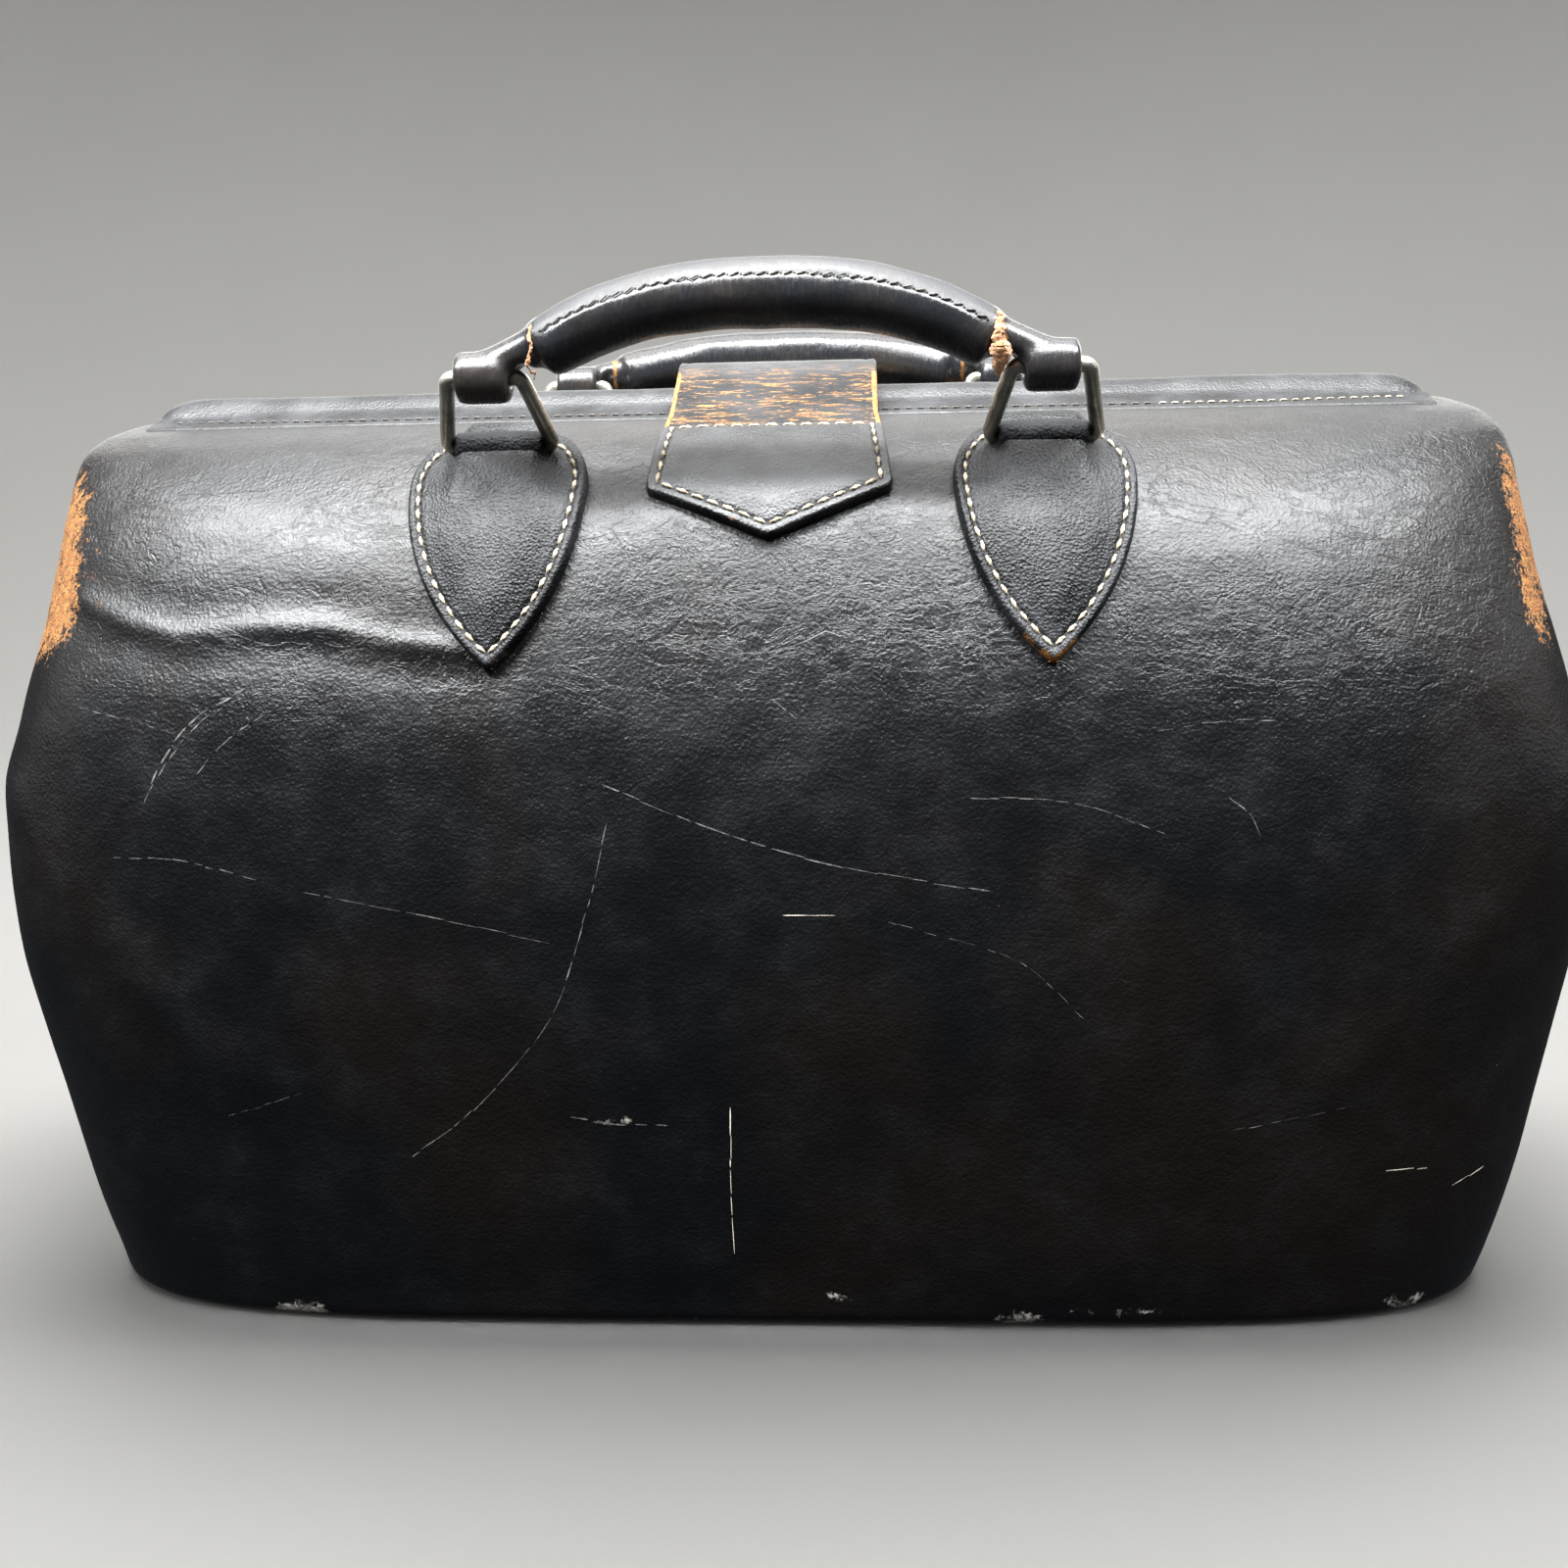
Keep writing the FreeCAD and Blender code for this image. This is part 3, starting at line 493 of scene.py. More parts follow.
def small_leather(name, rough=0.36, wear_colour=PALE_TAN, grain=0.5, coat=0.04, gloss=0.22):
    """Leather of the tabs, strap, rail and base: soft grain, rubbed where the wear mask says."""
    g = Graph(name, Specular_IOR_Level=gloss, Coat_Weight=coat, Coat_Roughness=0.25)
    wear, crack = g.mask("wear"), g.mask("crack")
    colour = g.mix(g.spread(g.noise(60.0, 4.0), 0.4, 0.7), BLACK, (0.014, 0.0145, 0.016))
    speck = g.noise(480.0, 6.0, 0.7, 0.3)
    rubbed = g.plus(g.times(wear, 1.2), g.times(g.minus(speck, 0.5), 1.5))
    rubbed = g.spread(rubbed, 0.62, 0.82)
    split = g.noise(330.0, 6.0, 0.72, 1.1, g.scaled((0.34, 1.7, 2.6)))
    split = g.times(g.spread(split, 0.52, 0.60), crack)
    hide = g.mix(g.spread(g.noise(900.0, 4.0, 0.7), 0.35, 0.65), wear_colour, TAN)
    colour = g.mix(g.math("MAXIMUM", rubbed, g.times(split, 0.75)), colour, hide)
    ageing = g.times(g.spread(g.noise(1400.0, 3.0), 0.5, 0.75), g.times(crack, 0.6))
    colour = g.mix(ageing, colour, (0.020, 0.017, 0.014))
    roughness = g.plus(g.spread(g.noise(240.0, 4.0), 0.3, 0.7, rough - 0.06, rough + 0.08),
                       g.plus(g.times(rubbed, 0.4), g.times(crack, 0.5)))
    normal = g.bump(g.noise(420.0, 3.0), 0.0005, 0.4)
    normal = g.bump(g.cells(1250.0), 0.00028, grain, normal)
    normal = g.bump(g.noise(2100.0, 3.0), 0.00016, grain, normal)
    normal = g.bump(split, 0.0007, -0.9, normal)
    return g.out(Base_Color=colour, Roughness=roughness, Normal=normal)


def handle_leather():
    g = Graph("handle_leather", Specular_IOR_Level=0.34, Coat_Weight=0.04, Coat_Roughness=0.14)
    wear = g.mask("wear")
    colour = g.mix(g.spread(g.noise(45.0, 4.0), 0.4, 0.7), (0.0075, 0.008, 0.0095), (0.016, 0.0135, 0.012))
    hairs = g.noise(900.0, 5.0, 0.7, 0.5, g.scaled((1.6, 0.35, 0.35)))
    colour = g.mix(g.times(g.spread(hairs, 0.6, 0.72), 0.28), colour, GREY)
    speck = g.noise(520.0, 6.0, 0.7, 0.3)
    rubbed = g.plus(g.times(wear, 1.2), g.times(g.minus(speck, 0.5), 1.5))
    rubbed = g.spread(rubbed, 0.62, 0.82)
    hide = g.mix(g.spread(g.noise(700.0, 4.0, 0.7), 0.35, 0.65), PALE_TAN, TAN)
    colour = g.mix(rubbed, colour, hide)
    roughness = g.plus(g.spread(hairs, 0.35, 0.75, 0.22, 0.36), g.times(rubbed, 0.45))
    roughness = g.plus(roughness, g.times(g.mask("matte"), 0.26))
    normal = g.bump(g.noise(160.0, 3.0), 0.0007, 0.3)
    normal = g.bump(hairs, 0.0003, 0.35, normal)
    normal = g.bump(g.noise(1900.0, 3.0), 0.00014, 0.35, normal)
    return g.out(Base_Color=colour, Roughness=roughness, Normal=normal)


def thread_material(name, pale, dark):
    g = Graph(name, Roughness=0.75, Sheen_Weight=0.2)
    colour = g.mix(g.spread(g.noise(260.0, 4.0), 0.35, 0.65), pale, dark)
    fibre = g.noise(5200.0, 3.0)
    colour = g.mix(g.times(g.spread(fibre, 0.5, 0.8), 0.5), colour, dark)
    return g.out(Base_Color=colour, Normal=g.bump(fibre, 0.0001, 0.7))


# Near-black for needle holes and the keyhole: painted shade standing in for openings that are not cut.
def hole_shade_material():
    g = Graph("stitch_hole_shade", Roughness=0.9)
    return g.out(Base_Color=g.mix(g.noise(900.0), (0.002, 0.002, 0.002), (0.008, 0.007, 0.006)))


def frayed_material():
    g = Graph("frayed_leather", Roughness=0.92, Sheen_Weight=0.3)
    colour = g.mix(g.spread(g.noise(640.0, 5.0, 0.7), 0.35, 0.65), (0.36, 0.16, 0.05), (0.19, 0.07, 0.02))
    colour = g.mix(g.times(g.spread(g.noise(1300.0, 3.0), 0.55, 0.7), 0.7), colour, (0.03, 0.016, 0.009))
    return g.out(Base_Color=colour, Normal=g.bump(g.noise(1500.0, 5.0, 0.7), 0.0007, 0.9))


def scratch_material():
    g = Graph("scratched_leather", Roughness=0.7)
    bared = g.spread(g.noise(420.0, 5.0, 0.7), 0.4, 0.65)
    return g.out(Base_Color=g.mix(bared, (0.010, 0.010, 0.011), (0.075, 0.073, 0.068)))


def scrape_material():
    g = Graph("scraped_pale", Roughness=0.8)
    return g.out(Base_Color=g.mix(g.noise(500.0, 4.0), (0.30, 0.27, 0.21), (0.52, 0.48, 0.40)))


def cloth_material(name, pale, dark):
    g = Graph(name, Roughness=0.9, Sheen_Weight=0.25)
    colour = g.mix(g.spread(g.noise(24.0, 4.0), 0.35, 0.7), pale, dark)
    weave = g.times(g.ribs((1.0, 0.0, 0.0)), g.ribs((0.0, 0.4, 1.0)))
    colour = g.mix(g.times(weave, 0.45), colour, dark)
    return g.out(Base_Color=colour, Normal=g.bump(weave, 0.0002, 0.6))


def metal_material(name, colour, dark, rough, grime, carried=False, metallic=1.0):
    g = Graph(name, carried, Metallic=metallic)
    tint = g.mix(g.spread(g.noise(210.0, 5.0, 0.65), 0.4, 0.68), colour, dark)
    spots = g.times(g.spread(g.noise(800.0, 5.0, 0.7), 0.56, 0.7), grime)
    tint = g.mix(spots, tint, (0.035, 0.028, 0.018))
    roughness = g.plus(g.spread(g.noise(420.0, 4.0), 0.3, 0.7, rough - 0.07, rough + 0.1),
                       g.times(spots, 0.3))
    normal = g.bump(g.noise(1400.0, 4.0, 0.6, 0.0, g.scaled((0.3, 1.0, 1.0))), 0.00012, 0.5)
    return g.out(Base_Color=tint, Roughness=roughness, Normal=normal)


def board_material():
    g = Graph("fibre_board", True, Roughness=0.9)
    colour = g.mix(g.noise(600.0, 5.0, 0.7), (0.33, 0.25, 0.16), (0.20, 0.145, 0.09))
    return g.out(Base_Color=colour, Normal=g.bump(g.noise(1500.0, 4.0), 0.0002, 0.6))


def cord_material():
    g = Graph("twisted_cord", True, Roughness=0.85)
    strands = g.cells(420.0, place=g.scaled((0.3, 1.0, 1.0)))
    colour = g.mix(g.spread(strands, 0.1, 0.6), (0.40, 0.33, 0.22), (0.22, 0.17, 0.11))
    return g.out(Base_Color=colour, Normal=g.bump(strands, 0.0005, 0.7))


def floor_material():
    g = Graph("pale_floor", Roughness=0.75)
    colour = g.mix(g.noise(6.0, 4.0), (0.58, 0.575, 0.56), (0.62, 0.615, 0.60))
    return g.out(Base_Color=colour, Normal=g.bump(g.noise(300.0, 3.0), 0.0002, 0.2))


M = {
    "wall": wall_leather(),
    "band": small_leather("rail_leather", 0.44, PALE_TAN, 0.4, 0.0, 0.28),
    "tab": small_leather("tab_leather", 0.40, PALE_TAN, 0.9, 0.03, 0.17),
    "roll": small_leather("tab_roll_leather", 0.62, PALE_TAN, 1.0, 0.0, 0.12),
    "strap": small_leather("strap_leather", 0.44, (0.25, 0.125, 0.038), 0.6, 0.04, 0.36),
    "base": small_leather("base_leather", 0.5, GREY, 0.6, 0.0),
    "handle": handle_leather(),
    "thread": thread_material("waxed_thread", (0.38, 0.32, 0.22), (0.13, 0.10, 0.06)),
    "dark_thread": thread_material("dark_thread", (0.045, 0.038, 0.032), (0.012, 0.010, 0.009)),
    # painted shade for the needle holes and the keyhole
    "hole": hole_shade_material(),
    "frayed": frayed_material(),
    "scratch": scratch_material(),
    "scrape": scrape_material(),
    "lining": cloth_material("cotton_lining", (0.105, 0.078, 0.050), (0.055, 0.038, 0.024)),
    "brass": metal_material("aged_brass", (0.56, 0.42, 0.19), (0.30, 0.21, 0.09), 0.32, 0.5),
    "brass_dark": metal_material("dark_brass", (0.20, 0.15, 0.075), (0.09, 0.065, 0.035), 0.42, 0.5),
    "nickel": metal_material("dull_nickel", (0.64, 0.62, 0.54), (0.34, 0.32, 0.25), 0.34, 0.45, True),
    "steel": metal_material("painted_steel", (0.030, 0.030, 0.032), (0.015, 0.015, 0.016), 0.38, 0.3,
                            True, 0.3),
    "bright_steel": metal_material("plated_steel", (0.42, 0.41, 0.38), (0.22, 0.21, 0.19), 0.34, 0.5, True),
    "board": board_material(),
    "cord": cord_material(),
    "floor": floor_material(),
}


# ------------------------------------------------------------------ stitching
def thread_shape(length, radius, plies=2.0):
    """One stitch along +X: two twisted plies that dip into the leather at both ends."""
    rings, sides = 11, 10
    u = np.linspace(0, 1, rings)[:, None]
    phi = np.linspace(0, 2 * math.pi, sides, endpoint=False)[None, :]
    swell = np.maximum(np.sin(math.pi * u), 0)**0.42
    r = radius * np.maximum(swell, 0.12) * (1 + 0.20 * np.cos(2 * phi - 2 * math.pi * plies * u))
    rise = radius * (1.35 * swell - 0.95)
    shape = np.stack([(u - 0.5) * length + 0 * phi, r * np.cos(phi), rise + r * np.sin(phi)], -1)
    return shape.reshape(-1, 3), capped(rings, sides)


def hole_shape(length, width):
    u = np.linspace(0, math.pi / 2, 4)[:, None]
    phi = np.linspace(0, 2 * math.pi, 10, endpoint=False)[None, :]
    shape = np.stack([length * np.cos(u) * np.cos(phi), width * np.cos(u) * np.sin(phi),
                      0.16 * np.sin(u) + 0 * phi], -1)
    return shape.reshape(-1, 3), capped(4, 10)


def stitches(name, line, normals, pitch, radius, thread, slant=0.0, cover=0.82, seed=1, hole=0.55):
    """Stitches along a line on a surface, with a dark disc between each two, painted shade standing in for
    the needle hole.
    """
    line, normals = np.asarray(line, float), np.asarray(normals, float)
    length = length_along(line)
    count = max(int(round(length[-1] / pitch)), 1)
    step = length[-1] / count
    random = np.random.default_rng(seed)
    tangents = unit(np.gradient(line, axis=0))
    parts, index = [], []

    def frame_at(distance):
        values = [np.array([np.interp(distance, length, a[:, k]) for k in range(3)])
                  for a in (line, tangents, normals)]
        up = unit(values[2])
        along = unit(values[1] - up * np.dot(values[1], up))
        return values[0], along, np.cross(up, along), up

    for k in range(count):
        spot, along, across, up = frame_at((k + 0.5) * step)
        turn = math.radians(slant + random.normal(0, 3.0))
        heading = along * math.cos(turn) + across * math.sin(turn)
        sideways = np.cross(up, heading)
        long = step * cover * random.uniform(0.93, 1.05)
        shape, faces = thread_shape(long, radius * random.uniform(0.9, 1.08))
        points = spot + shape[:, :1] * heading + shape[:, 1:2] * sideways + (shape[:, 2:] + radius * 0.5) * up
        parts.append((points, faces))
        index += [0] * len(faces)
    # a dark disc at each needle hole: painted shade for the hole
    for k in range(count + 1):
        spot, along, across, up = frame_at(min(max(k * step, 0.01), length[-1] - 0.01))
        shape, faces = hole_shape(hole * 1.25, hole)
        points = spot + shape[:, :1] * along + shape[:, 1:2] * across + (shape[:, 2:] + 0.02) * up
        parts.append((points, faces))
        index += [1] * len(faces)
    points, faces = joined(parts)
    return make_object(name, points, faces, [thread, M["hole"]], index, sharp=80)


# ------------------------------------------------------------------ walls
def spread_by_length(function, low, high, step, samples=600):
    """Parameter values that give even steps along a curve."""
    t = np.linspace(low, high, samples)
    length = length_along(function(t))
    count = int(length[-1] / step) + 1
    return np.interp(np.linspace(0, length[-1], count), length, t)


SCUFFS = ((-136, 4, 9, 5), (66, 3, 8, 4), (16, 9, 9, 3),        # x, height, half width, half height
          (-44, 63, 15, 3.2), (95, 6, 22, 2.5), (172, 5, 12, 4))


def make_wall(side):
    step = 1.7
    angles = spread_by_length(lambda a: wall_point(a, level_at(120.0) + 0 * a), 0, 180, step)
    heights = spread_by_length(lambda t: wall_point(90.0 + 0 * t, t), 0, len(WALL_LEVELS) - 1, step)
    angle, t = np.meshgrid(angles, heights, indexing="ij")
    base = wall_point(angle, t)
    normal = wall_normal(wall_point, angle, t)
    x, y, z = np.moveaxis(base, -1, 0)
    seam = smooth(0, 7, -y)
    foot = 1.6 * (1 - smooth(0, 3.2, z))**2
    outer = base + normal * (wall_relief(x, z, side) * seam - foot)[..., None]
    inner = base - normal * LEATHER
    outer[..., 2] = np.maximum(outer[..., 2], 0.02)
    inner[..., 2] = np.maximum(inner[..., 2], 0.02)
    points, faces = closed_sheet(facing(outer, side), facing(inner, side))
    obj = make_object(side + "_leather", points, faces, [M["wall"]])
    place = np.abs(points[:, :2])
    px, pz = points[:, 0], points[:, 2]
    outside = np.concatenate([np.ones(outer[..., 0].size), np.zeros(inner[..., 0].size)])
    turned = 0.12 + 0.88 * smooth(16, 40, place[:, 1])
    pz = pz + 9 * soft_noise(points[:, 1] / 15, px / 24, 14) * (pz > 20)
    left = smooth(187, 204, -px) * smooth(176, 192, pz) * smooth(250, 242, pz)
    left += 0.42 * smooth(168, 186, -px) * smooth(186, 199, pz) * smooth(232, 208, pz)
    left += 0.40 * smooth(196, 212, -px) * smooth(150, 172, pz) * smooth(200, 185, pz)
    right = smooth(191, 204, px) * smooth(184, 200, pz) * smooth(252, 246, pz)
    right += 0.36 * smooth(194, 206, px) * smooth(168, 190, pz) * smooth(204, 190, pz)
    left, right = left * turned, right * turned
    pz = points[:, 2]
    if side == "back":
        left, right = 0.8 * right, 0.8 * left
    corner = smooth(60, 20, place[:, 1]) * 0.25 * smooth(196, 214, np.abs(px)) * smooth(205, 220, pz)
    edge = 0.34 * smooth(2.0, 0.4, place[:, 1]) * smooth(120, 170, pz)
    worn = np.clip(left + right + corner + edge, 0, 1) * (1 - 0.45 * smooth(224, 242, pz))
    paint(obj, "wear", worn * outside)
    dry = 0.45 * smooth(150, 205, pz) * smooth(252, 236, pz)
    dry += 0.5 * np.exp(-((place[:, 0] - 196) / 16)**2) * smooth(60, 100, pz) * smooth(190, 150, pz) * 0.5
    paint(obj, "dry", dry * outside)
    paint(obj, "upper", smooth(158, 212, pz) * outside)
    rim = smooth(7, 1, pz) * (0.42 + 0.16 * soft_noise(px / 30, px / 41, 12))
    spots = sum(np.exp(-((px - cx) / w)**2 - ((pz - cz) / h)**2) for cx, cz, w, h in
                SCUFFS)
    paint(obj, "dust", (rim + (0.62 if side == "front" else 0.4) * spots) * outside)
    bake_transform(obj)
    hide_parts(side + "_panel_lower", side + "_panel_flex", side + "_panel_upper")
    return obj


def make_lining(side):
    """One cotton cloth from the base to the rail, inside the leather and the frame."""
    angles = np.linspace(3, 177, 150)
    z_steps = np.linspace(7.0, 239.0, 90)
    angle, z = np.meshgrid(angles, z_steps, indexing="ij")
    t = level_at(z)
    base, normal = wall_point(angle, t), wall_normal(wall_point, angle, t)
    inset = 5.4 - 2.0 * smooth(150, 205, z)
    across = base[..., 0]
    pucker = 0.35 * soft_noise(across / 14, z / 55, 21) + 0.25 * soft_noise(across / 6, z / 30, 22)
    outer = base - normal * (inset + 0.25 + pucker)[..., None]
    inner = base - normal * (inset + 1.05 + pucker)[..., None]
    points, faces = closed_sheet(facing(outer, side), facing(inner, side))
    obj = make_object(side + "_lining", points, faces, [M["lining"]])
    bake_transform(obj)
    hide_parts(side + "_lining_lower", side + "_lining_upper")


def gusset_half(z):
    """Half the end gusset's width, in degrees of the plan outline."""
    return 25.0 - 4.0 * smooth(70, 127, z) - 15.0 * smooth(112, 127, z)**2


def make_gusset(name, sign):
    """The end piece below the hinge, laid over both walls' edges and stitched down both sides."""
    low, high = 1.0, 127.0
    rows = np.linspace(low, high, 84)
    columns = np.linspace(-1, 1, 61)
    u, z = np.meshgrid(columns, rows, indexing="ij")
    t = level_at(z)

    def place(angle, t):
        return wall_point(angle, t, 0.0)

    angle = u * gusset_half(z)
    base, normal = place(angle, t), wall_normal(place, angle, t)
    rim = smooth(0.0, 0.06, 1 - np.abs(u)) * smooth(0, 2.0, z - low) * smooth(0, 3.0, high - z)
    groove = 0.35 * np.exp(-((1 - np.abs(u) - 0.075) / 0.022)**2)
    sag = 0.35 * soft_noise(base[..., 1] / 20, z / 26, 31) * rim
    height = 0.35 + 1.35 * rim - groove + sag
    outer = base + normal * height[..., None]
    inner = base - normal * 0.3
    turn = np.array([sign, 1, 1])
    points, faces = closed_sheet(outer * turn, inner * turn)
    obj = make_object(name, points, faces, [M["wall"]])
    masks = {"wear": 0.30 * smooth(0.10, 0.0, 1 - np.abs(u)), "dry": 0.35 + 0 * u, "upper": 0.3 + 0 * u,
             "dust": 0.4 * smooth(9, 1, z)}
    for mask, values in masks.items():
        paint(obj, mask, np.concatenate([values.ravel(), 0 * values.ravel()]))
    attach(obj, "root")
    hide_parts(name.replace("end_gusset", "gusset"))
    for k, edge in enumerate((-1, 1)):
        z_line = np.linspace(7, 112, 120)
        t_line = level_at(z_line)
        a_line = edge * gusset_half(z_line) * 0.925
        outward = wall_normal(place, a_line, t_line)
        line = place(a_line, t_line) + outward * 1.25
        run = stitches(f"{name}_stitches_{k + 1}", line * turn, outward * turn, 4.4, 0.42, M["thread"],
                       seed=60 + k)
        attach(run, "root")


# ------------------------------------------------------------------ rail bands
def make_band(side):
    """The leather turned over the rail of one jaw and sewn down to the wall below it."""
    bottom, top, half = BAND
    x = np.concatenate([-half + 16 * (1 - np.cos(np.linspace(0, math.pi / 2, 18)[:-1])),
                        np.linspace(-half + 16, half - 16, 190),
                        half - 16 * (1 - np.cos(np.linspace(math.pi / 2, 0, 18)[1:]))])
    end = np.clip((half - np.abs(x)) / 16, 0, 1)
    shrink = np.sqrt(np.clip(1 - (1 - end)**2.4, 0.01, 1))[:, None]
    over = resample(np.array([(-MID_GAP, top - 1.9), (-1.1, top - 0.5), (-3.2, top), (-6.0, top - 0.35),
                              (-8.6, top - 1.7), (-10.4, top - 3.3), (-11.6, top - 4.6)]), 0.6)
    wave = 0.14 * soft_noise(x / 11, 0 * x, 51) + 0.18 * soft_noise(x / 47, 0 * x + 4, 52)
    low = bottom - 0.4
    over_y = over[:, 0][None, :] * (0.6 + 0.4 * shrink)
    over_z = low + (over[:, 1] - low)[None, :] * shrink + wave[:, None] * smooth(bottom, top, over[:, 1])
    shell = np.stack([np.broadcast_to(x[:, None], over_y.shape), over_y, over_z], -1)
    flange = []
    for z, lift in ((249.85, 1.75), (249.5, 1.25), (249.0, 0.9), (248.4, 0.75), (247.85, 0.65), (247.5, 0.35),
                    (247.4, -0.3), (248.6, -0.3), (249.8, -0.3)):
        flange.append(on_wall(x, z + 0 * x, "front", lift * (0.55 + 0.45 * shrink[:, 0]))[0])
    under = [np.stack([x, y + 0 * x, bottom - 0.6 + 0 * x], 1) for y in (-6.0, -MID_GAP)]
    ring = facing(np.concatenate([shell, np.stack(flange + under, 1)], 1), side)
    faces = capped(len(x), ring.shape[1])
    obj = make_object(side + "_rail_leather", ring.reshape(-1, 3), faces, [M["band"]], sharp=60)
    ring_x, ring_y, ring_z = np.abs(ring[..., 0]), np.abs(ring[..., 1]), ring[..., 2]
    edge = 0.40 * smooth(180, 189, ring_x)
    rub = 0.22 * np.exp(-((ring_y - 1.0) / 1.2)**2) * smooth(top - 2.5, top - 0.5, ring_z)
    beside_strap = np.exp(-((ring_x - 43) / 7)**2) * smooth(12, 16, ring_y)
    rub += 0.26 * beside_strap * (side == "front") * (ring[..., 0] < 0)
    paint(obj, "wear", edge + rub)
    paint(obj, "crack", 0 * edge)
    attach(obj, side + "_jaw")
    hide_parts(side + "_frame_cover")
    for low_x, high_x, thread in ((-181, 108, "dark_thread"), (109, 181, "thread")):
        x_line = np.linspace(low_x, high_x, 400)
        line, normal = on_wall(x_line, 248.3 + 0.6 * smooth(130, 181, np.abs(x_line)), side, 0.76)
        run = stitches(f"{side}_rail_{thread}", line, normal, 3.4, 0.26, M[thread], seed=71, cover=0.72,
                       hole=0.36)
        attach(run, side + "_jaw")


# ------------------------------------------------------------------ handle tabs
def arc_through(a, b, c, count):
    """Points on the circle through three points in a plane."""
    (ax, ay), (bx, by), (cx, cy) = a, b, c
    d = 2 * (ax * (by - cy) + bx * (cy - ay) + cx * (ay - by))
    ux = ((ax**2 + ay**2) * (by - cy) + (bx**2 + by**2) * (cy - ay) + (cx**2 + cy**2) * (ay - by)) / d
    uy = ((ax**2 + ay**2) * (cx - bx) + (bx**2 + by**2) * (ax - cx) + (cx**2 + cy**2) * (bx - ax)) / d
    start, end = math.atan2(ay - uy, ax - ux), math.atan2(cy - uy, cx - ux)
    end += 2 * math.pi * round((start - end) / (2 * math.pi))
    angle = np.linspace(start, end, count)
    radius = math.hypot(ax - ux, ay - uy)
    return np.stack([ux + radius * np.cos(angle), uy + radius * np.sin(angle)], 1)


NECK_Z = 241.5
TAB_SIDE = np.vstack([arc_through((TAB_TIP[0], TAB_TIP[1] + 0.5), TAB_FLANK, TAB_WIDEST, 40),
                      arc_through(TAB_WIDEST, TAB_SHOULDER, (TAB_NECK, NECK_Z), 20)[1:]])
TAB_OUTLINE = np.vstack([TAB_SIDE[::-1] * (-1, 1), [(0, TAB_TIP[1])], TAB_SIDE])


def tab_height(u, z):
    """Height of a tab's top over the wall, by distance from its cut edge."""
    closed = np.vstack([TAB_OUTLINE, TAB_OUTLINE[:1]])
    edge = distance_to(closed, u, z)
    round_over = np.sqrt(np.clip(1 - (1 - np.clip(edge / 1.3, 0, 1))**2, 0, 1))
    groove = 0.75 * np.exp(-((edge - 3.1) / 0.75)**2)
    puff = 1.15 * smooth(3.4, 12.0, edge)
    puff += 3.4 * smooth(219, 238, z) * smooth(14.5, 9.0, np.abs(u))
    lift = TAB_THICK * round_over + 0.15
    return lift - groove + puff + 0.10 * soft_noise(u / 5, z / 5, 81) * smooth(3, 6, edge)


def tab_surface(u, z, side, sign, extra=0.0):
    t = level_at(z)
    x = sign * TAB_X + u
    normal = wall_normal(face_point, x, t)
    point = face_point(x, t) + normal * (tab_height(u, z) + extra)[..., None]
    return facing(point, side), facing(normal, side)


def make_tab(side, end):
    sign = 1 if end == "right" else -1
    name = side + "_" + end + "_tab"
    rows = TAB_TIP[1] + (NECK_Z - TAB_TIP[1]) * (1 - np.cos(np.linspace(0, math.pi, 90))) / 2
    columns = np.sin(np.linspace(-math.pi / 2, math.pi / 2, 71))
    v, z = np.meshgrid(columns, rows, indexing="ij")
    u = v * np.interp(z, TAB_SIDE[:, 1], TAB_SIDE[:, 0])
    top, normal = tab_surface(u, z, side, sign)
    height = tab_height(u, z)
    under = top - normal * (height + 0.4)[..., None]
    points, faces = closed_sheet(top, under)
    obj = make_object(name + "_leather", points, faces, [M["tab"]], sharp=50)
    closed = np.vstack([TAB_OUTLINE, TAB_OUTLINE[:1]])
    edge = distance_to(closed, u, z)
    tip = smooth(200, 186, z) if (side, end) == ("front", "right") else 0.35 * smooth(196, 184, z)
    wear = smooth(2.4, 0.5, edge) * (0.22 + 0.40 * tip + 0.14 * soft_noise(u / 6, z / 6, 90))
    paint(obj, "wear", np.concatenate([wear.ravel(), 0 * wear.ravel()]))
    paint(obj, "crack", np.zeros(2 * wear.size))
    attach(obj, side + "_jaw")
    neck = make_neck(name, side, sign)
    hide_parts(name)
    inset = inward(TAB_OUTLINE, 3.1)
    inset = even(inset[(np.abs(inset[:, 0]) > 14.0) | (inset[:, 1] < 225)], 0.8)
    line, normals = tab_surface(inset[:, 0], inset[:, 1], side, sign)
    run = stitches(name + "_stitches", line, normals, 4.2, 0.50, M["thread"], seed=101 + sign, hole=0.62)
    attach(run, side + "_jaw")
    return neck


def inward(outline, distance):
    """The outline moved in by a distance, its corners kept tidy."""
    dense = even(outline, 0.6)
    tangent = unit(np.gradient(dense, axis=0))
    left = np.stack([-tangent[:, 1], tangent[:, 0]], 1)
    arm = dense - (dense.max(0) + dense.min(0)) / 2
    turn = arm[:-1, 0] * arm[1:, 1] - arm[1:, 0] * arm[:-1, 1]
    moved = dense + left * distance * np.sign(turn.sum())
    keep = distance_to(dense, moved[:, 0], moved[:, 1]) > distance - 0.12
    return moved[keep]


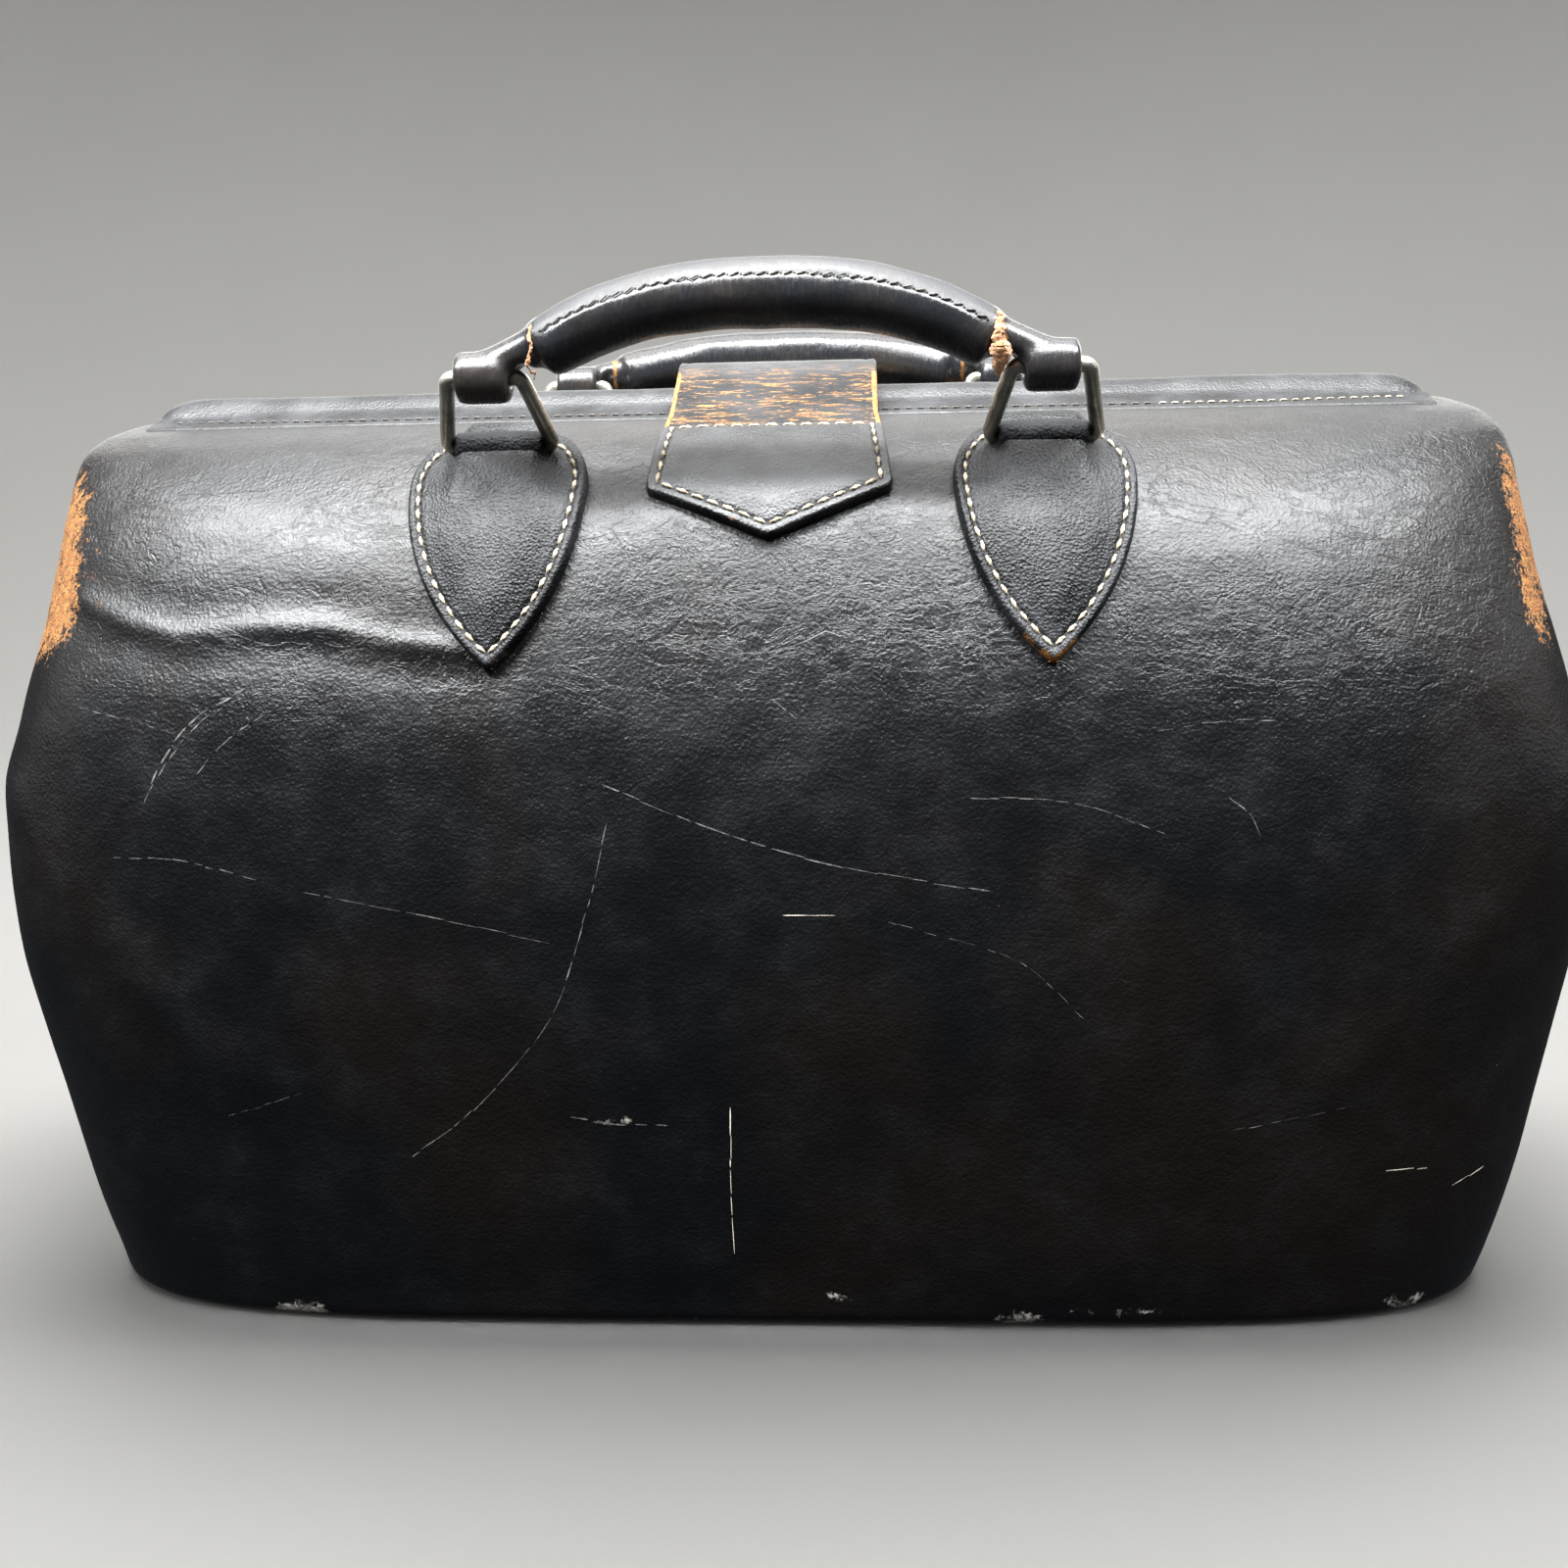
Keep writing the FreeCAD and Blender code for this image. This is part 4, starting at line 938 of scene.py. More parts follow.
def make_neck(name, side, sign):
    """The tab's middle, rolled up and over the ring's lower bar and back down to the wall."""
    y0, z0 = -RING_HINGE[0], RING_HINGE[1]
    radius = LOOP_RADIUS - 0.9
    start_z = np.array([222.0, 228.0, 233.0])
    t = level_at(start_z)
    lift = np.array([0.5, 1.8, 3.2])
    seated = face_point(TAB_X + 0 * t, t) + wall_normal(face_point, TAB_X + 0 * t, t) * lift[:, None]
    angle = np.radians([206, 180, 150, 120, 90, 60, 30, 0, -30, -58])
    loop = np.stack([y0 + radius * np.cos(angle), z0 + radius * np.sin(angle)], 1)
    path = resample(np.vstack([seated[:, 1:], loop]), 0.7)
    tangent = unit(np.gradient(path, axis=0))
    normal = np.stack([-tangent[:, 1], tangent[:, 0]], 1)
    along = np.linspace(0, 1, len(path))
    v = np.sin(np.linspace(-math.pi / 2, math.pi / 2, 33))
    half = TAB_NECK + 0.8 + 3.4 * smooth(0.55, 0.1, along)
    x = v[None, :] * half[:, None]
    rounding = np.sqrt(np.clip(1 - np.clip((np.abs(x) - half[:, None] + 0.9) / 0.9, 0, 1)**2, 0.02, 1))
    seat = smooth(0.5, 0.1, along)[:, None]
    dish = 0.22 * soft_noise(x / 5, along[:, None] * 9, 111) - 1.1 * seat * (x / half[:, None])**2
    level_now = level_at(np.clip(path[:, 1], 200, 236))[:, None]
    middle = face_point(TAB_X + 0 * x, level_now + 0 * x)[..., 1]
    drop = face_point(TAB_X + x, level_now + 0 * x)[..., 1] - middle
    sides = []
    for way in (-1, 1):
        offset = way * ROLL_HALF_THICK * rounding + dish
        y = path[:, 0][:, None] + normal[:, 0][:, None] * offset + drop * seat
        z = path[:, 1][:, None] + normal[:, 1][:, None] * offset
        sides.append(np.stack([sign * TAB_X + x, y, z], -1))
    points, faces = closed_sheet(*(facing(points, side) for points in sides))
    obj = make_object(name + "_roll", points, faces, [M["roll"]], sharp=55)
    rub = 0.34 * smooth(0.8, 1.0, np.abs(v))[None, :] * smooth(0.4, 0.6, along)[:, None] + 0 * x
    paint(obj, "wear", np.concatenate([rub.ravel(), rub.ravel()]))
    paint(obj, "crack", np.zeros(2 * x.size))
    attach(obj, side + "_jaw")
    return obj


# ------------------------------------------------------------------ handles
def arch(x):
    return HANDLE_RISE * (1 - np.abs(x / HANDLE_SPAN)**2.6)


def hung(points, side):
    """Handle points from its own frame to its place on the leaning rings."""
    ring_lean, handle_lean = (math.radians(a) for a in LEANS[side])
    c, s = math.cos(handle_lean), math.sin(handle_lean)
    y = points[..., 1] * c - points[..., 2] * s
    z = points[..., 1] * s + points[..., 2] * c
    y = y - RING_HINGE[0] - RING_HEIGHT * math.sin(ring_lean)
    z = z + RING_HINGE[1] + RING_HEIGHT * math.cos(ring_lean)
    return facing(np.stack([points[..., 0], y, z], -1), side)


def handle_parts():
    """Overlapping tubes that make up one handle, on its own axes."""
    middle_radius, end_radius, end_x = GRIP
    x = np.linspace(-end_x, end_x, 90)
    radii = middle_radius - (middle_radius - end_radius) * (x / end_x)**2
    end = np.sqrt(np.clip(1 - np.clip((np.abs(x) - end_x + 2.0) / 2.0, 0, 1)**2, 0.25, 1))
    parts = [tube(np.stack([x, 0 * x, arch(x)], 1), radii * end)]
    for sign in (1, -1):
        loop_x = TAB_X + END_LOOP[1] * np.linspace(-1, 1, 15)
        past = np.clip((np.abs(loop_x - TAB_X) - END_LOOP[1] + 1.2) / 1.2, 0, 1)
        rounding = np.sqrt(np.clip(1 - past**2, 0.3, 1))
        parts.append(tube(np.stack([sign * loop_x, 0 * loop_x, 0 * loop_x], 1), END_LOOP[0] * rounding))
        path = resample([(sign * x_end, 0, z_end) for x_end, z_end in
                         ((50, arch(50) + 1.5), (57, arch(57) + 1.8), (64, 5.0), (70, 2.8), (76, 1.4))], 1.0)
        fade = np.linspace(0, 1, len(path))
        parts.append(tube(path, 5.9 - 1.5 * np.sin(fade * math.pi * 0.5), flat=1.12))
    return joined(parts)


def make_handle(side):
    points, faces = handle_parts()
    obj = make_object(side + "_grip_leather", points, faces, [M["handle"]])
    voxel = 0.85 * MM
    finish_mesh(obj, ("REMESH", {"mode": "VOXEL", "voxel_size": voxel}))
    cutters = []
    for sign in (1, -1):
        slot_points, slot_faces = tube([(sign * 61.2, 0, -12), (sign * 61.2, 0, 3.0)], 2.3, 20)
        slot_points[:, 1] *= 3.2
        hole_points, hole_faces = tube([(sign * 60.0, 0, 0), (sign * 90.0, 0, 0)], WIRE_HOLE, 24)
        for part in ((slot_points, slot_faces), (hole_points, hole_faces)):
            cutters.append(make_object(side + "_cut_" + str(len(cutters)), *part, []))
    finish_mesh(obj, *[("BOOLEAN", {"operation": "DIFFERENCE", "solver": "EXACT", "object": cutter})
                       for cutter in cutters])
    for cutter in cutters:
        bpy.data.objects.remove(cutter)
    finish_mesh(obj, ("REMESH", {"mode": "VOXEL", "voxel_size": voxel}),
                ("SMOOTH", {"factor": 0.5, "iterations": 5}))
    co = coordinates(obj)
    matte = shape_handle(co)
    worn = 0.75 * np.exp(-((np.abs(co[:, 0]) - 59.6) / 1.5)**2) * smooth(9.5, 6.5, co[:, 2])
    worn += 0.5 * np.exp(-((np.abs(co[:, 0]) - 79.0) / 1.1)**2)
    if side == "front":
        worn *= np.where(co[:, 0] > 0, 1.15, 0.75)
    placed = hung(co, side)
    obj.data.vertices.foreach_set("co", (placed * MM).astype(np.float32).ravel())
    obj.data.update()
    keep_place(obj)
    if not obj.data.materials:
        obj.data.materials.append(M["handle"])
    paint(obj, "wear", worn)
    paint(obj, "matte", matte)
    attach(obj, side + "_grip")
    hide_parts(side + "_handle")
    make_handle_seam(side)
    make_frayed_ends(side)


SEAM_TURN = math.radians(66)       # the seam's place round the grip, from the top towards the front


def shape_handle(co):
    """Raises the seam's lap and dents the leather, in place; gives the mask of the dull part above it."""
    centre = arch(np.clip(co[:, 0], -GRIP[2], GRIP[2]))
    along = np.abs(co[:, 0]) < GRIP[2] - 1
    turn = np.arctan2(-co[:, 1], co[:, 2] - centre)
    lap = 0.38 * smooth(0.02, 0.10, turn - SEAM_TURN) * smooth(1.5, 0.7, turn - SEAM_TURN)
    dents = 0.22 * soft_noise(co[:, 0] / 9, turn * 1.6, 131)
    push = np.where(along, lap + dents, 0.4 * dents) * smooth(GRIP[2] - 1, GRIP[2] - 8, np.abs(co[:, 0]))
    co[:, 1] -= np.sin(turn) * push
    co[:, 2] += np.cos(turn) * push
    return smooth(SEAM_TURN + 0.06, SEAM_TURN - 0.02, turn) * smooth(-1.5, -1.1, turn) * along


def make_handle_seam(side):
    x = np.linspace(-54, 54, 260)
    radius = GRIP[0] - (GRIP[0] - GRIP[1]) * (x / GRIP[2])**2
    slope = np.gradient(arch(x), x)
    up = unit(np.stack([-slope, 0 * x, 1 + 0 * x], 1))
    front = np.stack([0 * x, -1 + 0 * x, 0 * x], 1)
    out = up * math.cos(SEAM_TURN) + front * math.sin(SEAM_TURN)
    line = np.stack([x, 0 * x, arch(x)], 1) + out * (radius + 0.12)[:, None]
    placed = hung(line, side)
    tips = hung(line + out, side)
    run = stitches(side + "_grip_stitches", placed, tips - placed, 3.3, 0.30, M["dark_thread"],
                   slant=24.0, cover=0.9, seed=141, hole=0.3)
    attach(run, side + "_grip")


def make_frayed_ends(side):
    """Rough torn rims where the grip's leather turns in beside the rings."""
    parts = []
    for sign, size, low, high in ((1, 2.3, 25, 165), (-1, 0.6, -30, 150)):
        if side == "back":
            size = 0.7
        phi = np.radians(np.linspace(low, high, 110))
        x = sign * (58.4 + 0.5 * soft_noise(phi * 3, 0 * phi, 151))
        radius = 7.4 + 0.35 * soft_noise(phi * 5, 0 * phi + 2, 152)
        path = np.stack([x, -radius * np.sin(phi), arch(58.0) + radius * np.cos(phi)], 1)
        taper = np.sin(np.linspace(0.1, math.pi - 0.1, 110))**0.5
        lumps = size * (0.85 + 0.45 * soft_noise(phi * 2.6, 0 * phi + 5, 153)) * taper
        parts.append(tube(path, lumps, 24))
    points, faces = joined(parts)
    for scale, amount in ((0.5, 0.5), (2.0, 0.26), (5.0, 0.12)):
        u, v = points[:, 0] * scale + points[:, 1], points[:, 2] * scale
        points = points + amount * np.stack([soft_noise(u, v, seed) for seed in (154, 155, 156)], 1)
    obj = make_object(side + "_grip_frayed_edge", hung(points, side), faces, [M["frayed"]], sharp=80)
    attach(obj, side + "_grip")


# ------------------------------------------------------------------ strap
def strap_path():
    """The strap's underside in the YZ plane, from its sewn tip to its free end, and its normals."""
    t = level_at(np.linspace(ANCHOR_TIP, ANCHOR_SHOULDER, 12))
    seated = face_point(0 * t, t) + wall_normal(face_point, 0 * t, t) * 0.15
    angle = np.radians(np.linspace(STRAP_SPAN[0], STRAP_SPAN[1], 10))
    over = np.stack([STRAP_INNER * np.sin(angle), HINGE_Z + STRAP_INNER * np.cos(angle)], 1)
    path = resample(np.vstack([seated[:, 1:], over]), 0.9)
    tangent = unit(np.gradient(path, axis=0))
    return path, np.stack([-tangent[:, 1], tangent[:, 0]], 1)


STRAP_PATH, STRAP_NORMAL = strap_path()
STRAP_ALONG = length_along(STRAP_PATH)
CROSS_ALONG = float(np.interp(241.0, STRAP_PATH[:60, 1], STRAP_ALONG[:60]))


def strap_frame(distance):
    """Y and Z of the strap's underside, and of its normal, at a distance along it."""
    columns = (STRAP_PATH[:, 0], STRAP_PATH[:, 1], STRAP_NORMAL[:, 0], STRAP_NORMAL[:, 1])
    return [np.interp(distance, STRAP_ALONG, column) for column in columns]


def strap_surface(x, distance, height):
    """A point over the strap's underside; the sewn end follows the wall's own curve along X."""
    y, z, ny, nz = strap_frame(distance)
    sewn = smooth(250, 238, z) * (distance < STRAP_ALONG[-1] * 0.5)
    t = level_at(np.clip(z, 200, 249))
    drop = (face_point(x, t)[..., 1] - face_point(0 * x, t)[..., 1]) * sewn
    return np.stack([x + 0 * y, y + ny * height + drop, z + nz * height], -1)


def strap_outline():
    """The strap laid flat: x across, distance along; the tip is a blunt point."""
    tip_along = float(np.interp(ANCHOR_CORNER, STRAP_PATH[:40, 1], STRAP_ALONG[:40]))
    straight = float(np.interp(246.0, STRAP_PATH[:70, 1], STRAP_ALONG[:70]))
    end = STRAP_ALONG[-1]
    side = [(STRAP_WIDE - 0.6, tip_along - 0.6), (STRAP_WIDE, tip_along + 1.2), (STRAP_HALF, straight),
            (STRAP_HALF, end - 7), (STRAP_HALF - 2.2, end - 2.2), (STRAP_HALF - 7, end)]
    return np.array([(0, end)] + [(x, d) for x, d in side[::-1]] + [(2.0, 0.6), (0, 0.0), (-2.0, 0.6)]
                    + [(-x, d) for x, d in side] + [(0, end)])


def strap_height(x, distance):
    edge = distance_to(strap_outline(), x, distance)
    thick = STRAP_THICK + 0.25
    round_over = np.sqrt(np.clip(1 - (1 - np.clip(edge / 0.9, 0, 1))**2, 0, 1))
    sewn = smooth(46, 36, distance)
    groove = 0.55 * np.exp(-((edge - 3.0) / 0.7)**2) * (0.35 + 0.65 * sewn)
    cross = 0.45 * np.exp(-((distance - CROSS_ALONG) / 0.8)**2) * (np.abs(x) < STRAP_HALF - 2)
    ruck = 0.34 * soft_noise(x / 22, distance / 2.1, 161) * crack_zone(distance)
    fray = 0.5 * soft_noise(x / 1.5, distance / 1.7, 162) * smooth(2.6, 1.0, edge) * crack_zone(distance)
    return (thick - 1.5) + 1.5 * round_over - groove - cross + ruck + fray + 0.5 * smooth(3.5, 9, edge) * sewn


def crack_zone(distance):
    """Where the strap's fold over the rail is cracked."""
    start = smooth(CROSS_ALONG + 0.5, CROSS_ALONG + 3, distance)
    return start * smooth(CROSS_ALONG + 42, CROSS_ALONG + 30, distance)


def make_strap():
    end = STRAP_ALONG[-1]
    outline = strap_outline()
    v = np.sin(np.linspace(-math.pi / 2, math.pi / 2, 101))
    rows = end * (1 - np.cos(np.linspace(0, math.pi, 190))) / 2
    distance = np.broadcast_to(rows[:, None], (190, 101))
    side = np.array([p for p in outline if p[0] >= 0])
    order = np.argsort(side[:, 1])
    half = np.interp(rows, side[order, 1], side[order, 0])
    half[0], half[-1] = 1.0, STRAP_HALF - 7
    x = v[None, :] * half[:, None]
    top = strap_surface(x, distance, strap_height(x, distance))
    under = strap_surface(x, distance, 0 * x + 0.05)
    points, faces = closed_sheet(top, under)
    obj = make_object("closing_strap_leather", points, faces, [M["strap"]], sharp=50)
    edge = distance_to(strap_outline(), x, distance)
    zone = crack_zone(distance)
    wear = smooth(2.4, 0.9, edge) * (0.85 * zone + 0.30 * smooth(30, 0, distance) + 0.12)
    paint(obj, "wear", np.concatenate([wear.ravel(), 0.5 * wear.ravel()]))
    paint(obj, "crack", np.concatenate([zone.ravel(), 0 * zone.ravel()]))
    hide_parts("strap", "strap_anchor")
    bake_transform(obj)
    sewn_end = inward(outline[outline[:, 1] < CROSS_ALONG + 14], 3.0)
    round_tip = sewn_end[sewn_end[:, 1] < CROSS_ALONG + 1.5]
    cross = np.stack([np.linspace(-26, 26, 80), np.full(80, CROSS_ALONG)], 1)
    for name, run in (("closing_strap_stitches", round_tip), ("closing_strap_cross_stitches", cross)):
        run = even(run, 0.8)
        height = strap_height(run[:, 0], run[:, 1])
        placed = strap_surface(run[:, 0], run[:, 1], height)
        tips = strap_surface(run[:, 0], run[:, 1], height + 1)
        sewn = stitches(name, placed, tips - placed, 4.6, 0.5, M["thread"], seed=171, hole=0.6)
        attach(sewn, "front_jaw")


# ------------------------------------------------------------------ lock and hasp
def about_hinge(radius, turn, x):
    """A point at a radius and an angle, in degrees from the middle plane, about the hinge axis."""
    a = np.radians(turn)
    return np.stack([x + 0 * a, radius * np.sin(a) + 0 * x, HINGE_Z + radius * np.cos(a) + 0 * x], -1)


def plate(name, inner, outer, span, half, material, body, corner=2.5, bevel=0.5, x_shift=0.0):
    """A curved plate about the hinge axis with rounded corners and bevelled edges."""
    arc = math.radians(span[1] - span[0]) * outer
    corners = [(half - corner, arc / 2 - corner), (corner - half, arc / 2 - corner),
               (corner - half, corner - arc / 2), (half - corner, corner - arc / 2)]
    outline = []
    for k, (cx, cy) in enumerate(corners):
        for phi in np.linspace(k * math.pi / 2, (k + 1) * math.pi / 2, 9):
            outline.append((cx + corner * math.cos(phi), cy + corner * math.sin(phi)))
    outline = np.array(outline)
    middle = (span[0] + span[1]) / 2
    rings = []
    for shrink, radius in ((0, inner), (0, outer - bevel), (bevel * 0.35, outer - bevel * 0.3),
                           (bevel, outer), (half * 0.45, outer + 0.02)):
        scale = 1 - shrink / np.array([half, arc / 2])
        flat = outline * np.maximum(scale, 0.05)
        rings.append(about_hinge(radius, middle + np.degrees(flat[:, 1] / outer), flat[:, 0] + x_shift))
    points = np.stack(rings)
    count = len(outline)
    faces = [list(f) for f in quads(len(rings), count, around=True)]
    faces += [list(range(count)), [(len(rings) - 1) * count + k for k in range(count)]]
    obj = make_object(name, points.reshape(-1, 3), faces, [material], sharp=32)
    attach(obj, body)
    return obj


def dome(name, radius, height, base_radius, turn, x, material, body, sides=28):
    u = np.linspace(0, math.pi / 2, 8)
    phi = np.linspace(0, 2 * math.pi, sides, endpoint=False)
    across = base_radius * np.cos(u)[:, None] * np.cos(phi)[None, :] + x
    round_ = base_radius * np.cos(u)[:, None] * np.sin(phi)[None, :]
    out = radius + height * np.sin(u)[:, None] + 0 * across
    points = np.concatenate([about_hinge(radius - 0.6, turn + np.degrees(round_[:1] / radius), across[:1]),
                             about_hinge(out, turn + np.degrees(round_ / radius), across)])
    faces = [list(f) for f in quads(9, sides, around=True)]
    faces += [list(range(sides)), [8 * sides + k for k in range(sides)]]
    obj = make_object(name, points.reshape(-1, 3), faces, [material], sharp=50)
    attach(obj, body)
    return obj


def make_lock():
    case = plate("lock_case_brass", 104.0, 115.4, (7.4, 27.0), 20.0, M["brass"], "back_jaw", 4.0, 0.9)
    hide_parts("lock_case")
    plate("lock_keyplate", 115.2, 115.75, (12.2, 20.4), 6.5, M["brass_dark"], "back_jaw", 3.0, 0.25)
    # the keyhole is a dark dome on the plate: painted shade for an opening that is not cut
    dome("lock_keyhole_shade", 115.7, 0.12, 1.5, 16.6, 0.0, M["hole"], "back_jaw", 18)
    for k, (x, turn) in enumerate(((16.2, 10.4), (-16.2, 10.4), (16.2, 23.8), (-16.2, 23.8))):
        dome("lock_rivet_" + str(k + 1), 115.3, 0.9, 1.7, turn, x, M["brass_dark"], "back_jaw")
    button = plate("lock_button_brass", 115.7, 118.4, (21.6, 25.4), 5.0, M["brass"], "lock_slide",
                   1.6, 0.6, -2.5)
    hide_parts("lock_button")
    hasp = plate("strap_hasp_brass", 115.9, 118.2, (8.5, 18.0), 13.0, M["brass"], "closing_strap", 3.0, 0.5)
    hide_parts("strap_hasp")
    rivets = [dome("hasp_rivet_" + str(k + 1), 121.1, 1.0, 3.0, 13.25, x, M["brass"], "closing_strap")
              for k, x in enumerate((9.0, -9.0))]
    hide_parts("hasp_rivets")


# ------------------------------------------------------------------ base
def base_plate(name, inset, low, high, material, node, crown=0.0):
    """A plate with the base outline, its rim rounded."""
    half_width, half_length, square = WALL_LEVELS[0][1:]
    phi = np.linspace(0, 2 * math.pi, 220, endpoint=False)
    c, s = np.cos(phi), np.sin(phi)
    size = (np.abs(c)**square + np.abs(s)**square)**(1 / square)
    rings = []
    thick = high - low
    for shrink, z in ((0.9, low), (0.25, low + 0.12 * thick), (0, low + 0.35 * thick),
                      (0, high - 0.2 * thick), (0.5, high)):
        rings.append(np.stack([(half_length - inset - shrink) * c / size,
                               (half_width - inset - shrink) * s / size, z + 0 * c], -1))
    for share in (0.85, 0.6, 0.35, 0.12):
        ring = rings[4] * (share, share, 1)
        ring[:, 2] = high + crown * (1 - share) + 0.15 * soft_noise(ring[:, 0] / 30, ring[:, 1] / 30, 181)
        rings.append(ring)
    points = np.stack(rings)
    faces = [list(f) for f in quads(len(rings), 220, around=True)]
    faces += [list(range(220)), [(len(rings) - 1) * 220 + k for k in range(220)]]
    obj = make_object(name, points.reshape(-1, 3), faces, [material], sharp=45)
    if material == M["base"]:
        edge = smooth(0.30, 0.0, points[..., 2] / thick) * 0.4
        paint(obj, "wear", edge)
        paint(obj, "crack", 0 * edge)
    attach(obj, "root")
    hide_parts(node)


# ------------------------------------------------------------------ scratches
SCRATCHES = [        # points as (x, height) on the front, width, share that shows, pale
    ([(-167, 149), (-161, 160), (-151, 171), (-136, 179)], 0.8, 0.55, False),
    ([(-165, 152), (-158, 162), (-147, 172), (-133, 178)], 0.5, 0.5, False),
    ([(-151, 157), (-142, 166), (-132, 172)], 0.6, 0.55, False),
    ([(-188, 173), (-169, 170), (-147, 164)], 0.35, 0.6, False),
    ([(-177, 134), (-157, 134), (-135, 129)], 0.5, 0.6, False),
    ([(-123, 126), (-91, 120), (-58, 113)], 0.45, 0.75, False),
    ([(-43, 154), (-11, 141), (21, 132), (56, 126)], 0.55, 0.75, False),
    ([(-42, 144), (-48, 121), (-59, 92), (-82, 65), (-99, 52)], 0.5, 0.72, False),
    ([(98, 166), (115, 168), (132, 168)], 0.35, 0.6, False),
    ([(51, 150), (78, 148), (100, 140)], 0.4, 0.6, False),
    ([(116, 149), (121, 145), (124, 139)], 0.45, 0.7, False),
    ([(162, 46), (174, 46)], 0.45, 0.8, True),
    ([(182, 39), (192, 43)], 0.5, 0.85, True),
    ([(3, 120), (18, 120)], 0.35, 0.9, True),
    ([(1, 175), (7, 170)], 0.5, 0.8, False),
    ([(-12, 67), (-12.5, 47), (-12, 23)], 0.45, 0.8, True),
    ([(-55, 64), (-45, 62.5), (-29, 61.5)], 0.9, 0.45, False),
    ([(-150, 62), (-128, 70)], 0.25, 0.5, False),
    ([(-20, 186), (5, 181)], 0.3, 0.5, False),
    ([(30, 118), (62, 108), (80, 92)], 0.25, 0.4, False),
    ([(120, 60), (150, 66)], 0.3, 0.45, False),
]


SCRATCH_LIFT = 0.07


def make_scratches():
    random = np.random.default_rng(9)
    for pale, name in ((False, "front_scratches"), (True, "front_scrapes")):
        parts = []
        for line, width, share, is_pale in SCRATCHES:
            if is_pale != pale:
                continue
            line = resample(np.array(line, float), 0.8)
            tangent = unit(np.gradient(line, axis=0))
            side = np.stack([-tangent[:, 1], tangent[:, 0]], 1)
            start = 0
            while start < len(line) - 3:
                count = int(random.integers(4, 16 if share > 0.6 else 8))
                stop = min(start + count, len(line))
                wide = 0.75 * width * random.uniform(0.35, 1.0)
                taper = np.sin(np.linspace(0.12, math.pi - 0.12, stop - start))**0.5
                shift = random.normal(0, 0.15)
                edges = [line[start:stop] + side[start:stop] * (shift + w * wide / 2 * taper)[:, None]
                         for w in (-1, 1)]
                if stop - start >= 3:
                    grid = np.stack([on_wall(e[:, 0], e[:, 1], "front", 0 * e[:, 0] + SCRATCH_LIFT)[0]
                                     for e in edges], 1)
                    parts.append((grid.reshape(-1, 3), [list(f) for f in quads(stop - start, 2)]))
                start = stop - 1 + int(random.integers(0, 2 + int(5 * (1 - share))))
        points, faces = joined(parts)
        obj = make_object(name, points, faces, [M["scrape" if pale else "scratch"]])
        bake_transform(obj)


# ------------------------------------------------------------------ stage, light, camera
def make_stage():
    """A round room with its floor turned up into the wall."""
    bend = np.radians(np.linspace(0, 90, 15))[1:]
    flat, turn_up, top = 2100, 900, 3600
    profile = [(0.5, 0), (1000, 0), (flat, 0)]
    profile += [(flat + turn_up * math.sin(a), turn_up * (1 - math.cos(a))) for a in bend]
    profile = np.array(profile + [(flat + turn_up, top)], float)
    turn = np.linspace(0, 2 * math.pi, 73)
    grid = np.stack([profile[:, :1] * np.cos(turn), profile[:, :1] * np.sin(turn) - 1200,
                     np.broadcast_to(profile[:, 1:], (len(profile), 73))], -1)
    obj = make_object("floor", grid.reshape(-1, 3), quads(len(profile), 73), [M["floor"]], sharp=80)
    obj.visible_glossy = False
    return obj


def add_light(name, place, target, size, power, colour=(1.0, 1.0, 1.0)):
    light = bpy.data.lights.new(name, "AREA")
    light.shape = "RECTANGLE"
    light.size, light.size_y = size
    light.energy = power
    light.color = colour
    obj = bpy.data.objects.new(name, light)
    bpy.context.scene.collection.objects.link(obj)
    obj.visible_camera = False
    obj.location = place
    obj.rotation_mode = "QUATERNION"
    obj.rotation_quaternion = (Vector(target) - Vector(place)).to_track_quat("-Z", "Y")
    return obj


def keep_off(light, stage):
    """The light leaves the stage out, so that it shapes the bag alone and the backdrop stays even."""
    receivers = bpy.data.collections.new(light.name + "_keeps_off")
    receivers.objects.link(stage)
    receivers.collection_objects[0].light_linking.link_state = "EXCLUDE"
    light.light_linking.receiver_collection = receivers


COOL = (0.97, 0.985, 1.0)


